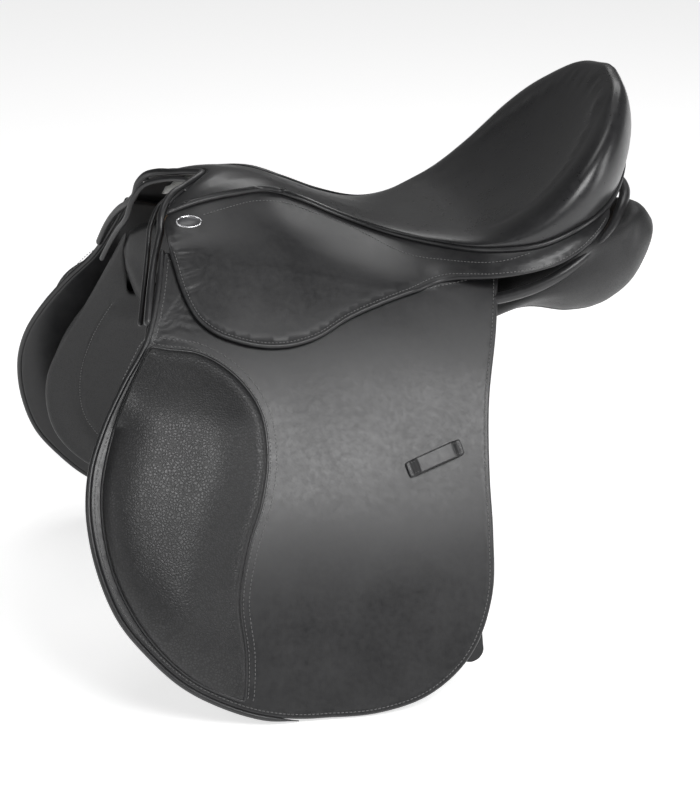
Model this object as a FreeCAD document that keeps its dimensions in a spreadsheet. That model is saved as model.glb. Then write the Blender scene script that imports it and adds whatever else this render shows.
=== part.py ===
import FreeCAD, Part
import math
import os

# English jumping saddle: a wood and steel tree, a stuffed seat, leather skirts and flaps, girth straps and
# a wool panel.  Millimetres.  +X runs to the horse's head, +Y to the rider's left (the near side), +Z up.
# The origin is on the symmetry plane, at the level where the panel bears on the horse under the seat's dip.
# All the side leather is bent to the horse's barrel: each layer lies between two cylinders about one axis.

Vector = FreeCAD.Vector
doc = FreeCAD.newDocument("english_saddle")

SIZES = [
    # overall
    ("seat_length", 445, "stud on the pommel to the middle of the cantle"),
    ("seat_width", 286, "across the welts at the widest"),
    ("flap_front_x", 292, "foremost point of the flap"),
    ("flap_rear_x", -100, "rearmost point of the flap"),
    ("flap_top_z", 102, "highest point of the flap"),
    ("flap_low_z", -272, "lowest point of the flap"),
    # the barrel curve of the left side
    ("barrel_radius", 800, "outer face of the flap"),
    ("barrel_axis_y", -487, "axis of the left side's curve"),
    ("barrel_axis_z", -444, "axis of the left side's curve"),
    ("side_reach", 420, "how far a side outline is pushed out"),
    # leather layers, counted inwards from the flap's outer face
    ("flap_leather", 4, "thickness of the flap"),
    ("skirt_gap", 3, "air between flap and skirt"),
    ("skirt_leather", 3, "thickness of the skirt"),
    ("billet_depth", 13, "outer face of the girth straps"),
    ("billet_leather", 4, "thickness of a girth strap"),
    ("billet_width", 25, "width of a girth strap"),
    ("billet_pitch", 42, "distance between girth straps"),
    ("billet_middle_x", 6, "centre line of the middle strap"),
    ("billet_hinge_z", -32, "line on which the straps bend out"),
    ("billet_end_z", -240, "free end of the straps"),
    ("guard_gap", 1, "air between buckle guard and straps"),
    ("guard_leather", 2, "thickness of the buckle guard"),
    ("guard_top_z", -44, "upper edge of the buckle guard"),
    ("guard_drop", 78, "height of the buckle guard"),
    ("sweat_depth", 22.2, "outer face of the sweat flap"),
    ("sweat_leather", 2.5, "thickness of the sweat flap"),
    ("panel_flap_depth", 25.2, "outer face of the panel flap"),
    ("panel_flap_pad", 18, "thickness of the panel flap"),
    ("roll_gap", 0.3, "glue line under the knee roll"),
    ("roll_pad", 12, "height of the knee roll"),
    ("keeper_gap", 4, "room for the surcingle under the keeper"),
    ("keeper_leather", 2, "thickness of the keeper"),
    ("keeper_length", 54, "length of the keeper"),
    ("keeper_width", 13, "width of the keeper"),
    ("keeper_x", -16, "centre of the keeper"),
    ("keeper_z", -67, "centre of the keeper"),
    ("keeper_tilt", 17, "slope of the keeper, degrees"),
    # bending lines
    ("split_gap", 1.2, "parting between a bending leather and its fixed top"),
    ("flap_bend_front_z", 43, "flap's bending line at flap_bend_front_x"),
    ("flap_bend_front_x", 228, "front end of the flap's bending line"),
    ("flap_bend_rear_z", -27, "flap's bending line at the flap's rear edge"),
    ("skirt_bend_front_x", 200, "front end of the skirt's bending line"),
    ("skirt_bend_front_z", 108, "front end of the skirt's bending line"),
    ("skirt_bend_rear_x", -30, "rear end of the skirt's bending line"),
    ("skirt_bend_rear_z", 62, "rear end of the skirt's bending line"),
    ("skirt_low_z", 27, "lowest point of the skirt"),
    # seat
    ("seat_leather", 3, "thickness of the seat leather"),
    ("seat_foam", 16, "thickness of the seat foam"),
    ("web_strap", 1.5, "thickness of the webbing"),
    ("fit_gap", 0.4, "clearance between glued or laced layers"),
    ("welt_radius", 2.2, "radius of the seat welt"),
    ("binding_radius", 3.5, "radius of the pommel binding"),
    # tree
    ("head_half_width", 111, "outer half-width of the head arch"),
    ("head_foot_z", 26, "foot of the head arch"),
    ("head_rise", 100, "rise of the head arch"),
    ("head_wood", 12, "radial thickness of the head arch"),
    ("head_depth", 34, "depth of the head arch along the horse"),
    ("head_rake", 20, "backward rake of the head, degrees"),
    ("head_top_x", 118, "rear face of the head at its top"),
    ("plate_steel", 2.5, "thickness of the head and gullet plates"),
    ("rail_inner_y", 24, "inner face of the tree rails"),
    ("rail_outer_y", 46, "outer face of the tree rails"),
    ("rail_wood", 14, "height of the tree rails"),
    ("rail_drop", 24, "rail top below the seat surface"),
    ("spring_steel", 1.5, "thickness of the spring strips"),
    ("rivet_radius", 3, "radius of the rivets"),
    # stirrup bar
    ("bar_front_x", 150, "front of the stirrup bar"),
    ("bar_length", 76, "length of the stirrup bar"),
    ("bar_z", 54, "centre height of the stirrup bar"),
    ("bar_inner_y", 128.5, "inner face of the bar"),
    ("bar_section", 7, "side of the bar's section"),
    ("bar_plate_y", 119.5, "outer face of the bar's plate"),
    ("bar_plate", 3, "thickness of the bar's plate"),
    ("bar_plate_length", 44, "length of the bar's plate"),
    ("bar_plate_height", 22, "height of the bar's plate"),
    ("catch_length", 20, "pin to the tip of the catch"),
    ("catch_pin_radius", 1.25, "radius of the catch pin"),
    ("pin_clearance", 0.05, "radial clearance of the catch on its pin"),
    ("tongue_width", 2.6, "width of the catch's tongue"),
    ("tongue_clearance", 0.2, "side clearance of the tongue"),
]

sheet = doc.addObject("Spreadsheet::Sheet", "sizes")
for row, (alias, number, meaning) in enumerate(SIZES, start=1):
    sheet.set(f"A{row}", alias)
    sheet.set(f"B{row}", str(number))
    sheet.set(f"C{row}", meaning)
    sheet.setAlias(f"B{row}", alias)
doc.recompute()


def size(alias):
    """The number in the sheet's cell of that alias."""
    return float(sheet.get(alias))


NOMINAL_SEAT_LENGTH = 445.0
NOMINAL_SEAT_WIDTH = 286.0
ALONG = size("seat_length") / NOMINAL_SEAT_LENGTH    # how much longer than the nominal seat
ACROSS = size("seat_width") / NOMINAL_SEAT_WIDTH     # how much wider than the nominal seat
FIT = size("fit_gap")
parts = []


def keep(part, label):
    """Name a finished sub-part for export."""
    part.Label = label
    parts.append(part)
    return part


def keep_pair(left, name):
    """Keep a left sub-part and its mirror image on the right."""
    keep(left, name + "_left")
    right = doc.addObject("Part::Mirroring", name + "_mirror")
    right.Source = left
    right.Normal = Vector(0, 1, 0)
    keep(right, name + "_right")
    return left


def feature(name, shape):
    """A free-form solid."""
    part = doc.addObject("Part::Feature", name)
    part.Shape = shape
    return part


# ---------------------------------------------------------------- curves and boolean helpers

def curve(points):
    """A straight edge for two points, a smooth one for more."""
    if len(points) == 2:
        return Part.LineSegment(points[0], points[1])
    smooth = Part.BSplineCurve()
    smooth.interpolate(points)
    return smooth


def side_sketch(name, runs):
    """A closed outline in the XZ plane; each run is a list of (x, z) that starts where the last one ended."""
    sketch = doc.addObject("Sketcher::SketchObject", name)
    sketch.Placement = FreeCAD.Placement(Vector(0, 0, 0), FreeCAD.Rotation(Vector(1, 0, 0), 90))
    for index, run in enumerate(runs):
        after = runs[(index + 1) % len(runs)][0]
        points = [Vector(x, z, 0) for x, z in run + [after]]
        sketch.addGeometry(curve(points), False)
    return sketch


def push_out(name, sketch):
    """The outline pushed out along +Y from the symmetry plane."""
    prism = doc.addObject("Part::Extrusion", name)
    prism.Base = sketch
    prism.DirMode = "Custom"
    prism.Dir = Vector(0, 1, 0)
    prism.Solid = True
    prism.setExpression("LengthFwd", "sizes.side_reach")
    return prism


def boolean(kind, name, base, tool):
    """A Part::Cut or Part::Common of two objects."""
    result = doc.addObject("Part::" + kind, name)
    result.Base = base
    result.Tool = tool
    return result


def barrel(name, radius):
    """A long cylinder about the barrel's axis, its radius an expression of the sheet."""
    reach = 600
    cylinder = doc.addObject("Part::Cylinder", name)
    cylinder.Height = 2 * reach
    cylinder.setExpression("Radius", radius)
    cylinder.Placement = FreeCAD.Placement(Vector(-reach, 0, 0), FreeCAD.Rotation(Vector(0, 1, 0), 90))
    cylinder.setExpression("Placement.Base.y", "sizes.barrel_axis_y")
    cylinder.setExpression("Placement.Base.z", "sizes.barrel_axis_z")
    return cylinder


def layer(name, runs, depth, thickness):
    """A bent leather sheet: its outline kept between two cylinders about the barrel's axis."""
    outer = barrel(name + "_outer", f"sizes.barrel_radius - ({depth})")
    inner = barrel(name + "_inner", f"sizes.barrel_radius - ({depth}) - ({thickness})")
    shell = boolean("Cut", name + "_shell", outer, inner)
    prism = push_out(name + "_prism", side_sketch(name + "_outline", runs))
    return boolean("Common", name, shell, prism)


def space_above(name, front, rear, offset):
    """A block above the straight line through two (x, z) points, raised by offset."""
    reach = 900
    slope = math.atan2(front[1] - rear[1], front[0] - rear[0])
    block = doc.addObject("Part::Box", name)
    block.Length = 2 * reach
    block.Width = reach
    block.Height = reach
    start = Vector(rear[0], 0, rear[1])
    start += Vector(math.cos(slope), 0, math.sin(slope)) * -reach
    start += Vector(-math.sin(slope), 0, math.cos(slope)) * offset
    block.Placement = FreeCAD.Placement(start, FreeCAD.Rotation(Vector(0, 1, 0), -math.degrees(slope)))
    return block


def split(whole, name, front, rear):
    """Part a sheet on a bending line: the hanging piece, and the fixed piece above."""
    half = size("split_gap") / 2
    hanging = boolean("Cut", name, whole, space_above(name + "_over", front, rear, -half))
    fixed = boolean("Common", name + "_upper", whole, space_above(name + "_above", front, rear, half))
    return hanging, fixed


def barrel_y(radius, height):
    """How far out a barrel cylinder is at a height."""
    rise = height - size("barrel_axis_z")
    return size("barrel_axis_y") + math.sqrt(radius ** 2 - rise ** 2)


# ---------------------------------------------------------------- flap, knee roll, keeper

def flap_point(forward, down):
    """A point of the flap's outline: 0 to 1 from its rear to its front, and 0 to 1 from top to bottom."""
    x = size("flap_rear_x") + forward * (size("flap_front_x") - size("flap_rear_x"))
    z = size("flap_top_z") + down * (size("flap_low_z") - size("flap_top_z"))
    return (x, z)


def flap_curve(points):
    return [flap_point(forward, down) for forward, down in points]


FLAP_BEND_FRONT = (size("flap_bend_front_x"), size("flap_bend_front_z"))
FLAP_BEND_REAR = (size("flap_rear_x"), size("flap_bend_rear_z"))


def make_flaps():
    runs = [
        flap_curve([(0.77, 0.0), (0.80, 0.10), (0.83, 0.17), (0.895, 0.257), (0.95, 0.343), (0.985, 0.42),
                    (1.0, 0.50), (0.998, 0.57), (0.982, 0.655), (0.95, 0.74), (0.893, 0.82), (0.82, 0.895),
                    (0.74, 0.945), (0.655, 0.98), (0.57, 0.997)]),
        flap_curve([(0.50, 1.0), (0.385, 1.0), (0.27, 0.97), (0.17, 0.89), (0.11, 0.76), (0.095, 0.62),
                    (0.09, 0.50), (0.07, 0.34), (0.03, 0.195)]),
        flap_curve([(0.0, 0.11), (0.25, 0.095), (0.52, 0.055)]),
    ]
    whole = layer("flap_whole", runs, "0", "sizes.flap_leather")
    hanging, fixed = split(whole, "flap", FLAP_BEND_FRONT, FLAP_BEND_REAR)
    window = doc.addObject("Part::Box", "stirrup_bar_window")
    margin = 10
    window.setExpression("Length", f"sizes.bar_length + {3 * margin}")
    window.setExpression("Height", f"sizes.bar_section + {2 * margin}")
    window.setExpression("Width", "sizes.side_reach")
    window.setExpression("Placement.Base.x", f"sizes.bar_front_x - sizes.bar_length - {2 * margin}")
    window.setExpression("Placement.Base.z", f"sizes.bar_z - sizes.bar_section / 2 - {margin}")
    upper = boolean("Cut", "flap_upper_windowed", fixed, window)
    keep_pair(hanging, "flap")
    keep_pair(upper, "flap_upper")


def make_knee_rolls():
    runs = [
        flap_curve([(0.828, 0.183), (0.80, 0.19), (0.72, 0.205), (0.645, 0.255), (0.60, 0.325),
                    (0.593, 0.41), (0.615, 0.51), (0.655, 0.605), (0.685, 0.72), (0.681, 0.85)]),
        flap_curve([(0.69, 0.945), (0.80, 0.885), (0.905, 0.765), (0.965, 0.615), (0.97, 0.47),
                    (0.93, 0.345)]),
    ]
    height = "sizes.roll_pad"
    keep_pair(layer("knee_roll", runs, f"-sizes.roll_gap - {height}", height), "knee_roll")


def tilted_strip(name, length, width):
    """A rectangle at the keeper's place and slope, in (x, z)."""
    slope = math.radians(size("keeper_tilt"))
    corners = [(-0.5, -0.5), (0.5, -0.5), (0.5, 0.5), (-0.5, 0.5)]
    runs = []
    for along, across in corners:
        u = along * length
        v = across * width
        x = size("keeper_x") + u * math.cos(slope) + v * math.sin(slope)
        z = size("keeper_z") - u * math.sin(slope) + v * math.cos(slope)
        runs.append([(x, z)])
    return push_out(name, side_sketch(name + "_outline", runs))


def make_keepers():
    """A leather strip sewn down at both ends, with room under it for the surcingle."""
    end = 5
    height = "(sizes.keeper_gap + sizes.keeper_leather)"
    outer = barrel("keeper_outer", f"sizes.barrel_radius + sizes.roll_gap + {height}")
    base = barrel("keeper_base", "sizes.barrel_radius + sizes.roll_gap")
    block = boolean("Common", "keeper_block", boolean("Cut", "keeper_shell", outer, base),
                    tilted_strip("keeper_strip", size("keeper_length"), size("keeper_width")))
    roof = barrel("keeper_roof", "sizes.barrel_radius + sizes.roll_gap + sizes.keeper_gap")
    tunnel = boolean("Common", "keeper_tunnel", roof,
                     tilted_strip("keeper_room", size("keeper_length") - 2 * end, 2 * size("keeper_width")))
    keep_pair(boolean("Cut", "keeper", block, tunnel), "keeper")


# ---------------------------------------------------------------- skirts

SKIRT_BEND_FRONT = (size("skirt_bend_front_x") * ALONG, size("skirt_bend_front_z"))
SKIRT_BEND_REAR = (size("skirt_bend_rear_x") * ALONG, size("skirt_bend_rear_z"))
SKIRT_DEPTH = "-sizes.skirt_gap - sizes.skirt_leather"


def skirt_bend_z(x):
    """Height of the skirt's bending line."""
    share = (x - SKIRT_BEND_REAR[0]) / (SKIRT_BEND_FRONT[0] - SKIRT_BEND_REAR[0])
    return SKIRT_BEND_REAR[1] + share * (SKIRT_BEND_FRONT[1] - SKIRT_BEND_REAR[1])


def make_skirts():
    """The hanging lobe that covers the stirrup bar."""
    low = size("skirt_low_z")
    lobe = [(197, 72), (189, 41), (169, 16), (137, 4), (101, 1.5), (68, 8), (46, 19), (5, 32)]
    edge = [(x * ALONG, low + rise) for x, rise in lobe]
    front = (SKIRT_BEND_FRONT[0], SKIRT_BEND_FRONT[1])
    rear = (SKIRT_BEND_REAR[0], SKIRT_BEND_REAR[1])
    runs = [[front] + edge, [rear]]
    whole = layer("skirt_whole", runs, SKIRT_DEPTH, "sizes.skirt_leather")
    above = space_above("skirt_over", SKIRT_BEND_FRONT, SKIRT_BEND_REAR, -size("split_gap") / 2)
    keep_pair(boolean("Cut", "skirt", whole, above), "skirt")


# ---------------------------------------------------------------- seat

# Across the seat at each station along the horse: x, half-width at the welt, welt height, height of the
# rolled rim at three quarters of the half-width, and height of the middle.
SEAT_STATIONS = [
    (190, 60, 131, 134, 137), (170, 57, 136, 141.5, 147), (127, 48, 141, 146.5, 151), (97, 40, 140.5, 143, 146),
    (67, 36, 130, 132.5, 134), (34, 42, 115.5, 118, 120), (-8, 60, 101, 105, 106), (-48, 92, 95.5, 101, 101),
    (-90, 130, 97, 106, 104), (-133, 143, 102.5, 131, 124), (-172, 136, 115.5, 167, 157),
    (-201, 113, 126, 199, 190), (-222, 84, 139, 216, 212), (-235, 56, 151, 227, 226), (-241, 25, 155, 230, 231),
]


def seat_at(x):
    """Half-width, welt, rim and middle heights of the seat at any x, straight between stations."""
    stations = [(s[0] * ALONG, s[1] * ACROSS) + s[2:] for s in SEAT_STATIONS]
    for fore, aft in zip(stations, stations[1:]):
        if aft[0] <= x <= fore[0]:
            share = (fore[0] - x) / (fore[0] - aft[0])
            return [a + share * (b - a) for a, b in zip(fore[1:], aft[1:])]
    return list(stations[0][1:] if x > stations[0][0] else stations[-1][1:])


def crown(x, inset):
    """Points across the seat's surface at x, from right to left, inset below it."""
    half, welt, rim, middle = seat_at(x)
    half -= inset
    rise = rim - welt
    profile = [(1.0, welt), (0.965, welt + 0.55 * rise), (0.78, rim), (0.4, middle + 0.25 * (rim - middle))]
    left = [(half * share, height) for share, height in profile]
    left = [left[0]] + [(y, height - inset) for y, height in left[1:]]
    across = [(-y, height) for y, height in left] + [(0.0, middle - inset)] + left[::-1]
    return [Vector(x, y, height) for y, height in across]


def closed_wire(runs):
    """A wire from runs of points, each a straight or smooth edge that starts where the last one ended."""
    edges = []
    for index, run in enumerate(runs):
        after = runs[(index + 1) % len(runs)][0]
        edges.append(curve(run + [after]).toShape())
    return Part.Wire(edges)


def loft(wires, ruled):
    """A solid through closed wires."""
    return Part.makeLoft(wires, True, ruled)


def head_notch(back, top):
    """The plan of the cut-back pommel, as a block; back moves it to the rear."""
    plan = [(215, 66), (192, 60.5), (184, 52), (172, 39.5), (158, 24), (147, 10), (143, 0)]
    left = [Vector((x - back) * ALONG, (y + back) * ACROSS if y else 0, 0) for x, y in plan]
    right = [Vector(p.x, -p.y, 0) for p in left[-2::-1]]
    far = Vector(400 * ALONG, 0, 0)
    nose = [Vector(far.x, right[-1].y, 0), Vector(far.x, left[0].y, 0)]
    wire = closed_wire([(left + right)[:-1], [right[-1]], [nose[0]], [nose[1]]])
    return Part.Face(wire).extrude(Vector(0, 0, top))


def make_seat():
    leather = size("seat_leather")
    wires = []
    cores = []
    stations = [station[0] * ALONG for station in SEAT_STATIONS]
    for x in stations:
        outer = crown(x, 0)
        inner = crown(x, leather)
        wires.append(closed_wire([outer[:-1], [outer[-1]], inner[:0:-1], [inner[0]]]))
    high = 400
    skin = loft(wires, True).cut(head_notch(0, high))
    keep(feature("seat_leather_cover", skin), "seat_leather")
    foam_side = 12
    inset = leather + 6 * FIT
    for x in stations[:-2]:
        top = crown(x, inset)
        edge_z = min(top[0].z - 0.6, top[1].z - 1)
        top = [Vector(x, top[0].y + 1, edge_z)] + top[1:-1] + [Vector(x, top[-1].y - 1, edge_z)]
        middle = seat_at(x)[3]
        bottom = middle - leather - size("seat_foam")
        half = max(top[-1].y - foam_side, top[-1].y * 0.6)
        foot = [Vector(x, half, bottom), Vector(x, -half, bottom)]
        cores.append(closed_wire([top[:-1], [top[-1]], [foot[0]], [foot[1]]]))
    pad = loft(cores, True).cut(head_notch(leather + FIT, high))
    keep(feature("seat_foam_pad", pad), "seat_foam")


def tube(points, radius):
    """A round cord through the points."""
    path = Part.Wire(curve(points).toShape())
    start = points[0]
    along = (points[1] - points[0]).normalize()
    ring = Part.Wire(Part.Circle(start, along, radius).toShape())
    return path.makePipeShell([ring], True, True)


def make_welts():
    """The corded seam between the seat and the skirt."""
    radius = size("welt_radius")
    points = []
    for station in SEAT_STATIONS[:-3]:
        half, welt = seat_at(station[0] * ALONG)[:2]
        points.append(Vector(station[0] * ALONG, half + 1.2, welt - radius - 3 * FIT))
    keep_pair(feature("seat_welt", tube(points, radius)), "seat_welt")


def skirt_top(x):
    """The skirt's sewn edge under the welt, as (y, z)."""
    half, welt = seat_at(x)[:2]
    return (half + 1.5, welt - 2 * size("welt_radius") - 7 * FIT)


def quad(top, bottom, thick):
    """A thin four-sided section at one x, thickened inwards, its lower edge level along Y."""
    run = bottom - top
    inwards = Vector(0, run.z, -run.y).normalize() * thick
    level = Vector(0, -thick * run.Length / abs(run.z), 0)
    return Part.makePolygon([top, bottom, bottom + level, top + inwards, top])


def make_skirt_uppers():
    """The fixed top of the skirt: from the welt to the bending line, and at the rear to its own lower edge."""
    thick = size("skirt_leather")
    radius = size("barrel_radius") + size("skirt_gap") + thick
    rear_edge = [(-48, 137.5, 66), (-90, 150, 72), (-118, 155, 77), (-151, 154, 86), (-172, 148, 96),
                 (-189, 138, 107), (-203, 119, 113)]
    wires = []
    for station in SEAT_STATIONS[:8]:
        x = station[0] * ALONG
        if x <= SKIRT_BEND_REAR[0]:
            break
        y_top, z_top = skirt_top(x)
        z_low = skirt_bend_z(x) + size("split_gap")
        wires.append((Vector(x, y_top, z_top), Vector(x, barrel_y(radius, z_low), z_low)))
    for x, y, z in rear_edge:
        y_top, z_top = skirt_top(x * ALONG)
        wires.append((Vector(x * ALONG, y_top, z_top), Vector(x * ALONG, y + y_top * (1 - 1 / ACROSS), z)))
    sections = [quad(top, low, thick) for top, low in wires]
    keep_pair(feature("skirt_upper", loft(sections, True)), "skirt_upper")


def make_cantle_facing():
    """The leather that closes the back of the saddle, from the cantle's welt down to the panel."""
    thick = size("skirt_leather")
    back = [(-212, 100, 128, 121), (-222, 86, 134, 121), (-235, 57, 146, 122), (-241, 28, 150, 122),
            (-243, 0, 151, 122)]
    stations = back + [(x, -y, top, low) for x, y, top, low in back[-2::-1]]
    lean = 10
    sections = []
    for x, y, top, low in stations:
        y *= ACROSS
        upper = Vector(x * ALONG, y, top)
        lower = Vector((x + lean) * ALONG, y * 0.97, low)
        inwards = Vector(thick, -0.01 * y, 0)
        sections.append(Part.makePolygon([upper, lower, lower + inwards, upper + inwards, upper]))
    keep(feature("cantle_facing_leather", loft(sections, True)), "cantle_facing")


def make_pommel_binding():
    """The rolled edge round the cut-back pommel."""
    left = [(200, 70.5, 112), (197.5, 62.5, 126), (192, 54, 135), (183.5, 42, 140.5), (171, 28, 143),
            (156.5, 13, 146.5), (148.5, 0, 148)]
    radius = size("binding_radius")
    points = [Vector(x * ALONG, y * ACROSS, z) for x, y, z in left]
    points += [Vector(p.x, -p.y, p.z) for p in points[-2::-1]]
    keep(feature("pommel_binding_roll", tube(points, radius)), "pommel_binding")


# ---------------------------------------------------------------- tree

HEAD_TILT = FreeCAD.Rotation(Vector(0, 1, 0), -size("head_rake"))


def head_foot():
    """The middle of the raked arch's springing line."""
    top = Vector(size("head_top_x") * ALONG, 0, size("head_foot_z") + size("head_rise"))
    return top - HEAD_TILT.multVec(Vector(0, 0, size("head_rise")))


def arch_sketch(name, over, foot):
    """Half of an elliptic arch's section in the YZ plane, closed at a foot level; over is added to both axes."""
    half = size("head_half_width") + over[0]
    rise = size("head_rise") + over[0]
    inner_half = size("head_half_width") + over[1]
    inner_rise = size("head_rise") + over[1]
    sketch = doc.addObject("Sketcher::SketchObject", name)
    upright = FreeCAD.Rotation(Vector(0, 1, 0), Vector(0, 0, 1), Vector(1, 0, 0), "XYZ")
    sketch.Placement = FreeCAD.Placement(head_foot(), HEAD_TILT.multiply(upright))

    def ellipse(a, b):
        return Part.Ellipse(Vector(0, 0, 0), a, b) if a >= b else Part.Ellipse(
            Vector(0, b, 0), Vector(a, 0, 0), Vector(0, 0, 0))

    ends = []
    for a, b in ((half, rise), (inner_half, inner_rise)):
        whole = ellipse(a, b)
        right = Vector(a * math.sqrt(1 - (foot / b) ** 2), foot, 0)
        left = Vector(-right.x, foot, 0)
        first = whole.parameter(right)
        last = whole.parameter(left)
        sketch.addGeometry(Part.ArcOfEllipse(whole, first, last), False)
        ends.append((right, left))
    for side in (0, 1):
        sketch.addGeometry(Part.LineSegment(ends[0][side], ends[1][side]), False)
    return sketch


def make_arch(name, over, foot, depth):
    """An arch across the withers: its section leans back with the head and runs level along the horse."""
    arch = doc.addObject("Part::Extrusion", name)
    arch.Base = arch_sketch(name + "_section", over, foot)
    arch.DirMode = "Custom"
    arch.Dir = Vector(1, 0, 0)
    arch.Solid = True
    arch.LengthFwd = depth
    return keep(arch, name)


def make_head():
    wood = size("head_wood")
    steel = size("plate_steel")
    depth = size("head_depth")
    plate_depth = depth - 6
    make_arch("tree_head", (0, -wood), 0, depth)
    make_arch("head_plate", (FIT + steel, FIT), 66, plate_depth)
    make_arch("gullet_plate", (-wood - FIT, -wood - FIT - steel), 16, plate_depth)


RAIL_STATIONS = [114, 97, 67, 34, -8, -48, -90, -133, -147]


def rail_box(x, inner, outer, top, height):
    """A four-cornered section of a rail or strip at x."""
    corners = [(inner, top), (outer, top), (outer, top - height), (inner, top - height)]
    points = [Vector(x, y, z) for y, z in corners]
    return Part.makePolygon(points + [points[0]])


def strip_under_seat(inner, outer, drop, height, stations):
    """A ruled strip that follows the seat's middle line at a set distance below it."""
    wires = []
    for x in stations:
        top = seat_at(x * ALONG)[3] - drop
        wires.append(rail_box(x * ALONG, inner, outer, top, height))
    return loft(wires, True)


def rivet_spots():
    """Where the rails are riveted to their spring strips."""
    middle = (size("rail_inner_y") + size("rail_outer_y")) / 2
    return [(x * ALONG, middle) for x in (96, 40, -60, -120)]


def rivet_solids(radius):
    """Rivets from the top of each rail down through its spring strip."""
    head = 0.8
    length = size("rail_wood") + FIT + size("spring_steel") + head
    solids = []
    for x, y in rivet_spots():
        z = seat_at(x)[3] - size("rail_drop") - 2 * FIT
        for side in (1, -1):
            solids.append(Part.makeCylinder(radius, length, Vector(x, side * y, z - length)))
    return solids


def make_rails():
    inner = size("rail_inner_y")
    outer = size("rail_outer_y")
    drop = size("rail_drop")
    wood = size("rail_wood")
    steel = size("spring_steel")
    inset = 5
    holes = Part.makeCompound(rivet_solids(size("rivet_radius")))
    rail = strip_under_seat(inner, outer, drop, wood, RAIL_STATIONS).cut(holes)
    keep_pair(feature("tree_rail", rail), "tree_rail")
    strip = strip_under_seat(inner + inset, outer - inset, drop + wood + FIT, steel, RAIL_STATIONS[:-1])
    keep_pair(feature("tree_spring", strip.cut(holes)), "tree_spring")
    keep(feature("tree_rivet_group", Part.makeCompound(rivet_solids(size("rivet_radius") - 0.02))),
         "tree_rivets")


def make_cantle():
    """The curved board behind the seat, which the rails carry."""
    half_widths = [(-152, 112), (-180, 108), (-205, 86), (-226, 56), (-236, 34)]
    drop = size("rail_drop")
    board = 12
    wires = []
    for x, half in half_widths:
        top = seat_at(x * ALONG)[3] - drop
        wires.append(rail_box(x * ALONG, -half * ACROSS, half * ACROSS, top, board))
    keep(feature("tree_cantle_board", loft(wires, True)), "tree_cantle")


def make_webs():
    """Two webs from head to cantle, and one across the rails behind the head."""
    web = size("web_strap")
    drop = size("seat_leather") + size("seat_foam") + FIT
    inner = 6
    outer = 32
    stations = [108, 97, 67, 34, -8, -48, -90, -133, -147]
    left = strip_under_seat(inner, outer, drop, web, stations)
    right = left.mirror(Vector(0, 0, 0), Vector(0, 1, 0))
    keep(feature("long_webs", Part.makeCompound([left, right])), "seat_webs")
    half = size("rail_outer_y")
    across = strip_under_seat(-half, half, drop + web + FIT, web, [102, 82, 65])
    keep(feature("cross_web", across), "seat_cross_web")


# ---------------------------------------------------------------- stirrup bars

def origin_plane(body, role):
    """A body's own origin plane."""
    return next(plane for plane in body.Origin.OriginFeatures if plane.Role == role)


def add_polygon(sketch, corners):
    for index, corner in enumerate(corners):
        after = corners[(index + 1) % len(corners)]
        sketch.addGeometry(Part.LineSegment(Vector(*corner, 0), Vector(*after, 0)), False)


def pad(body, name, corners, height, offset):
    """Pad a polygon of the body's XY plane by an expression, starting at a height expression."""
    sketch = body.newObject("Sketcher::SketchObject", name + "_sketch")
    sketch.AttachmentSupport = [(origin_plane(body, "XY_Plane"), "")]
    sketch.MapMode = "FlatFace"
    sketch.setExpression("AttachmentOffset.Base.z", offset)
    add_polygon(sketch, corners)
    doc.recompute()
    solid = body.newObject("PartDesign::Pad", name)
    solid.Profile = sketch
    solid.setExpression("Length", height)
    doc.recompute()
    return solid


PIN_SETBACK = 6   # catch pin ahead of the bar's rear end


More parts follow.
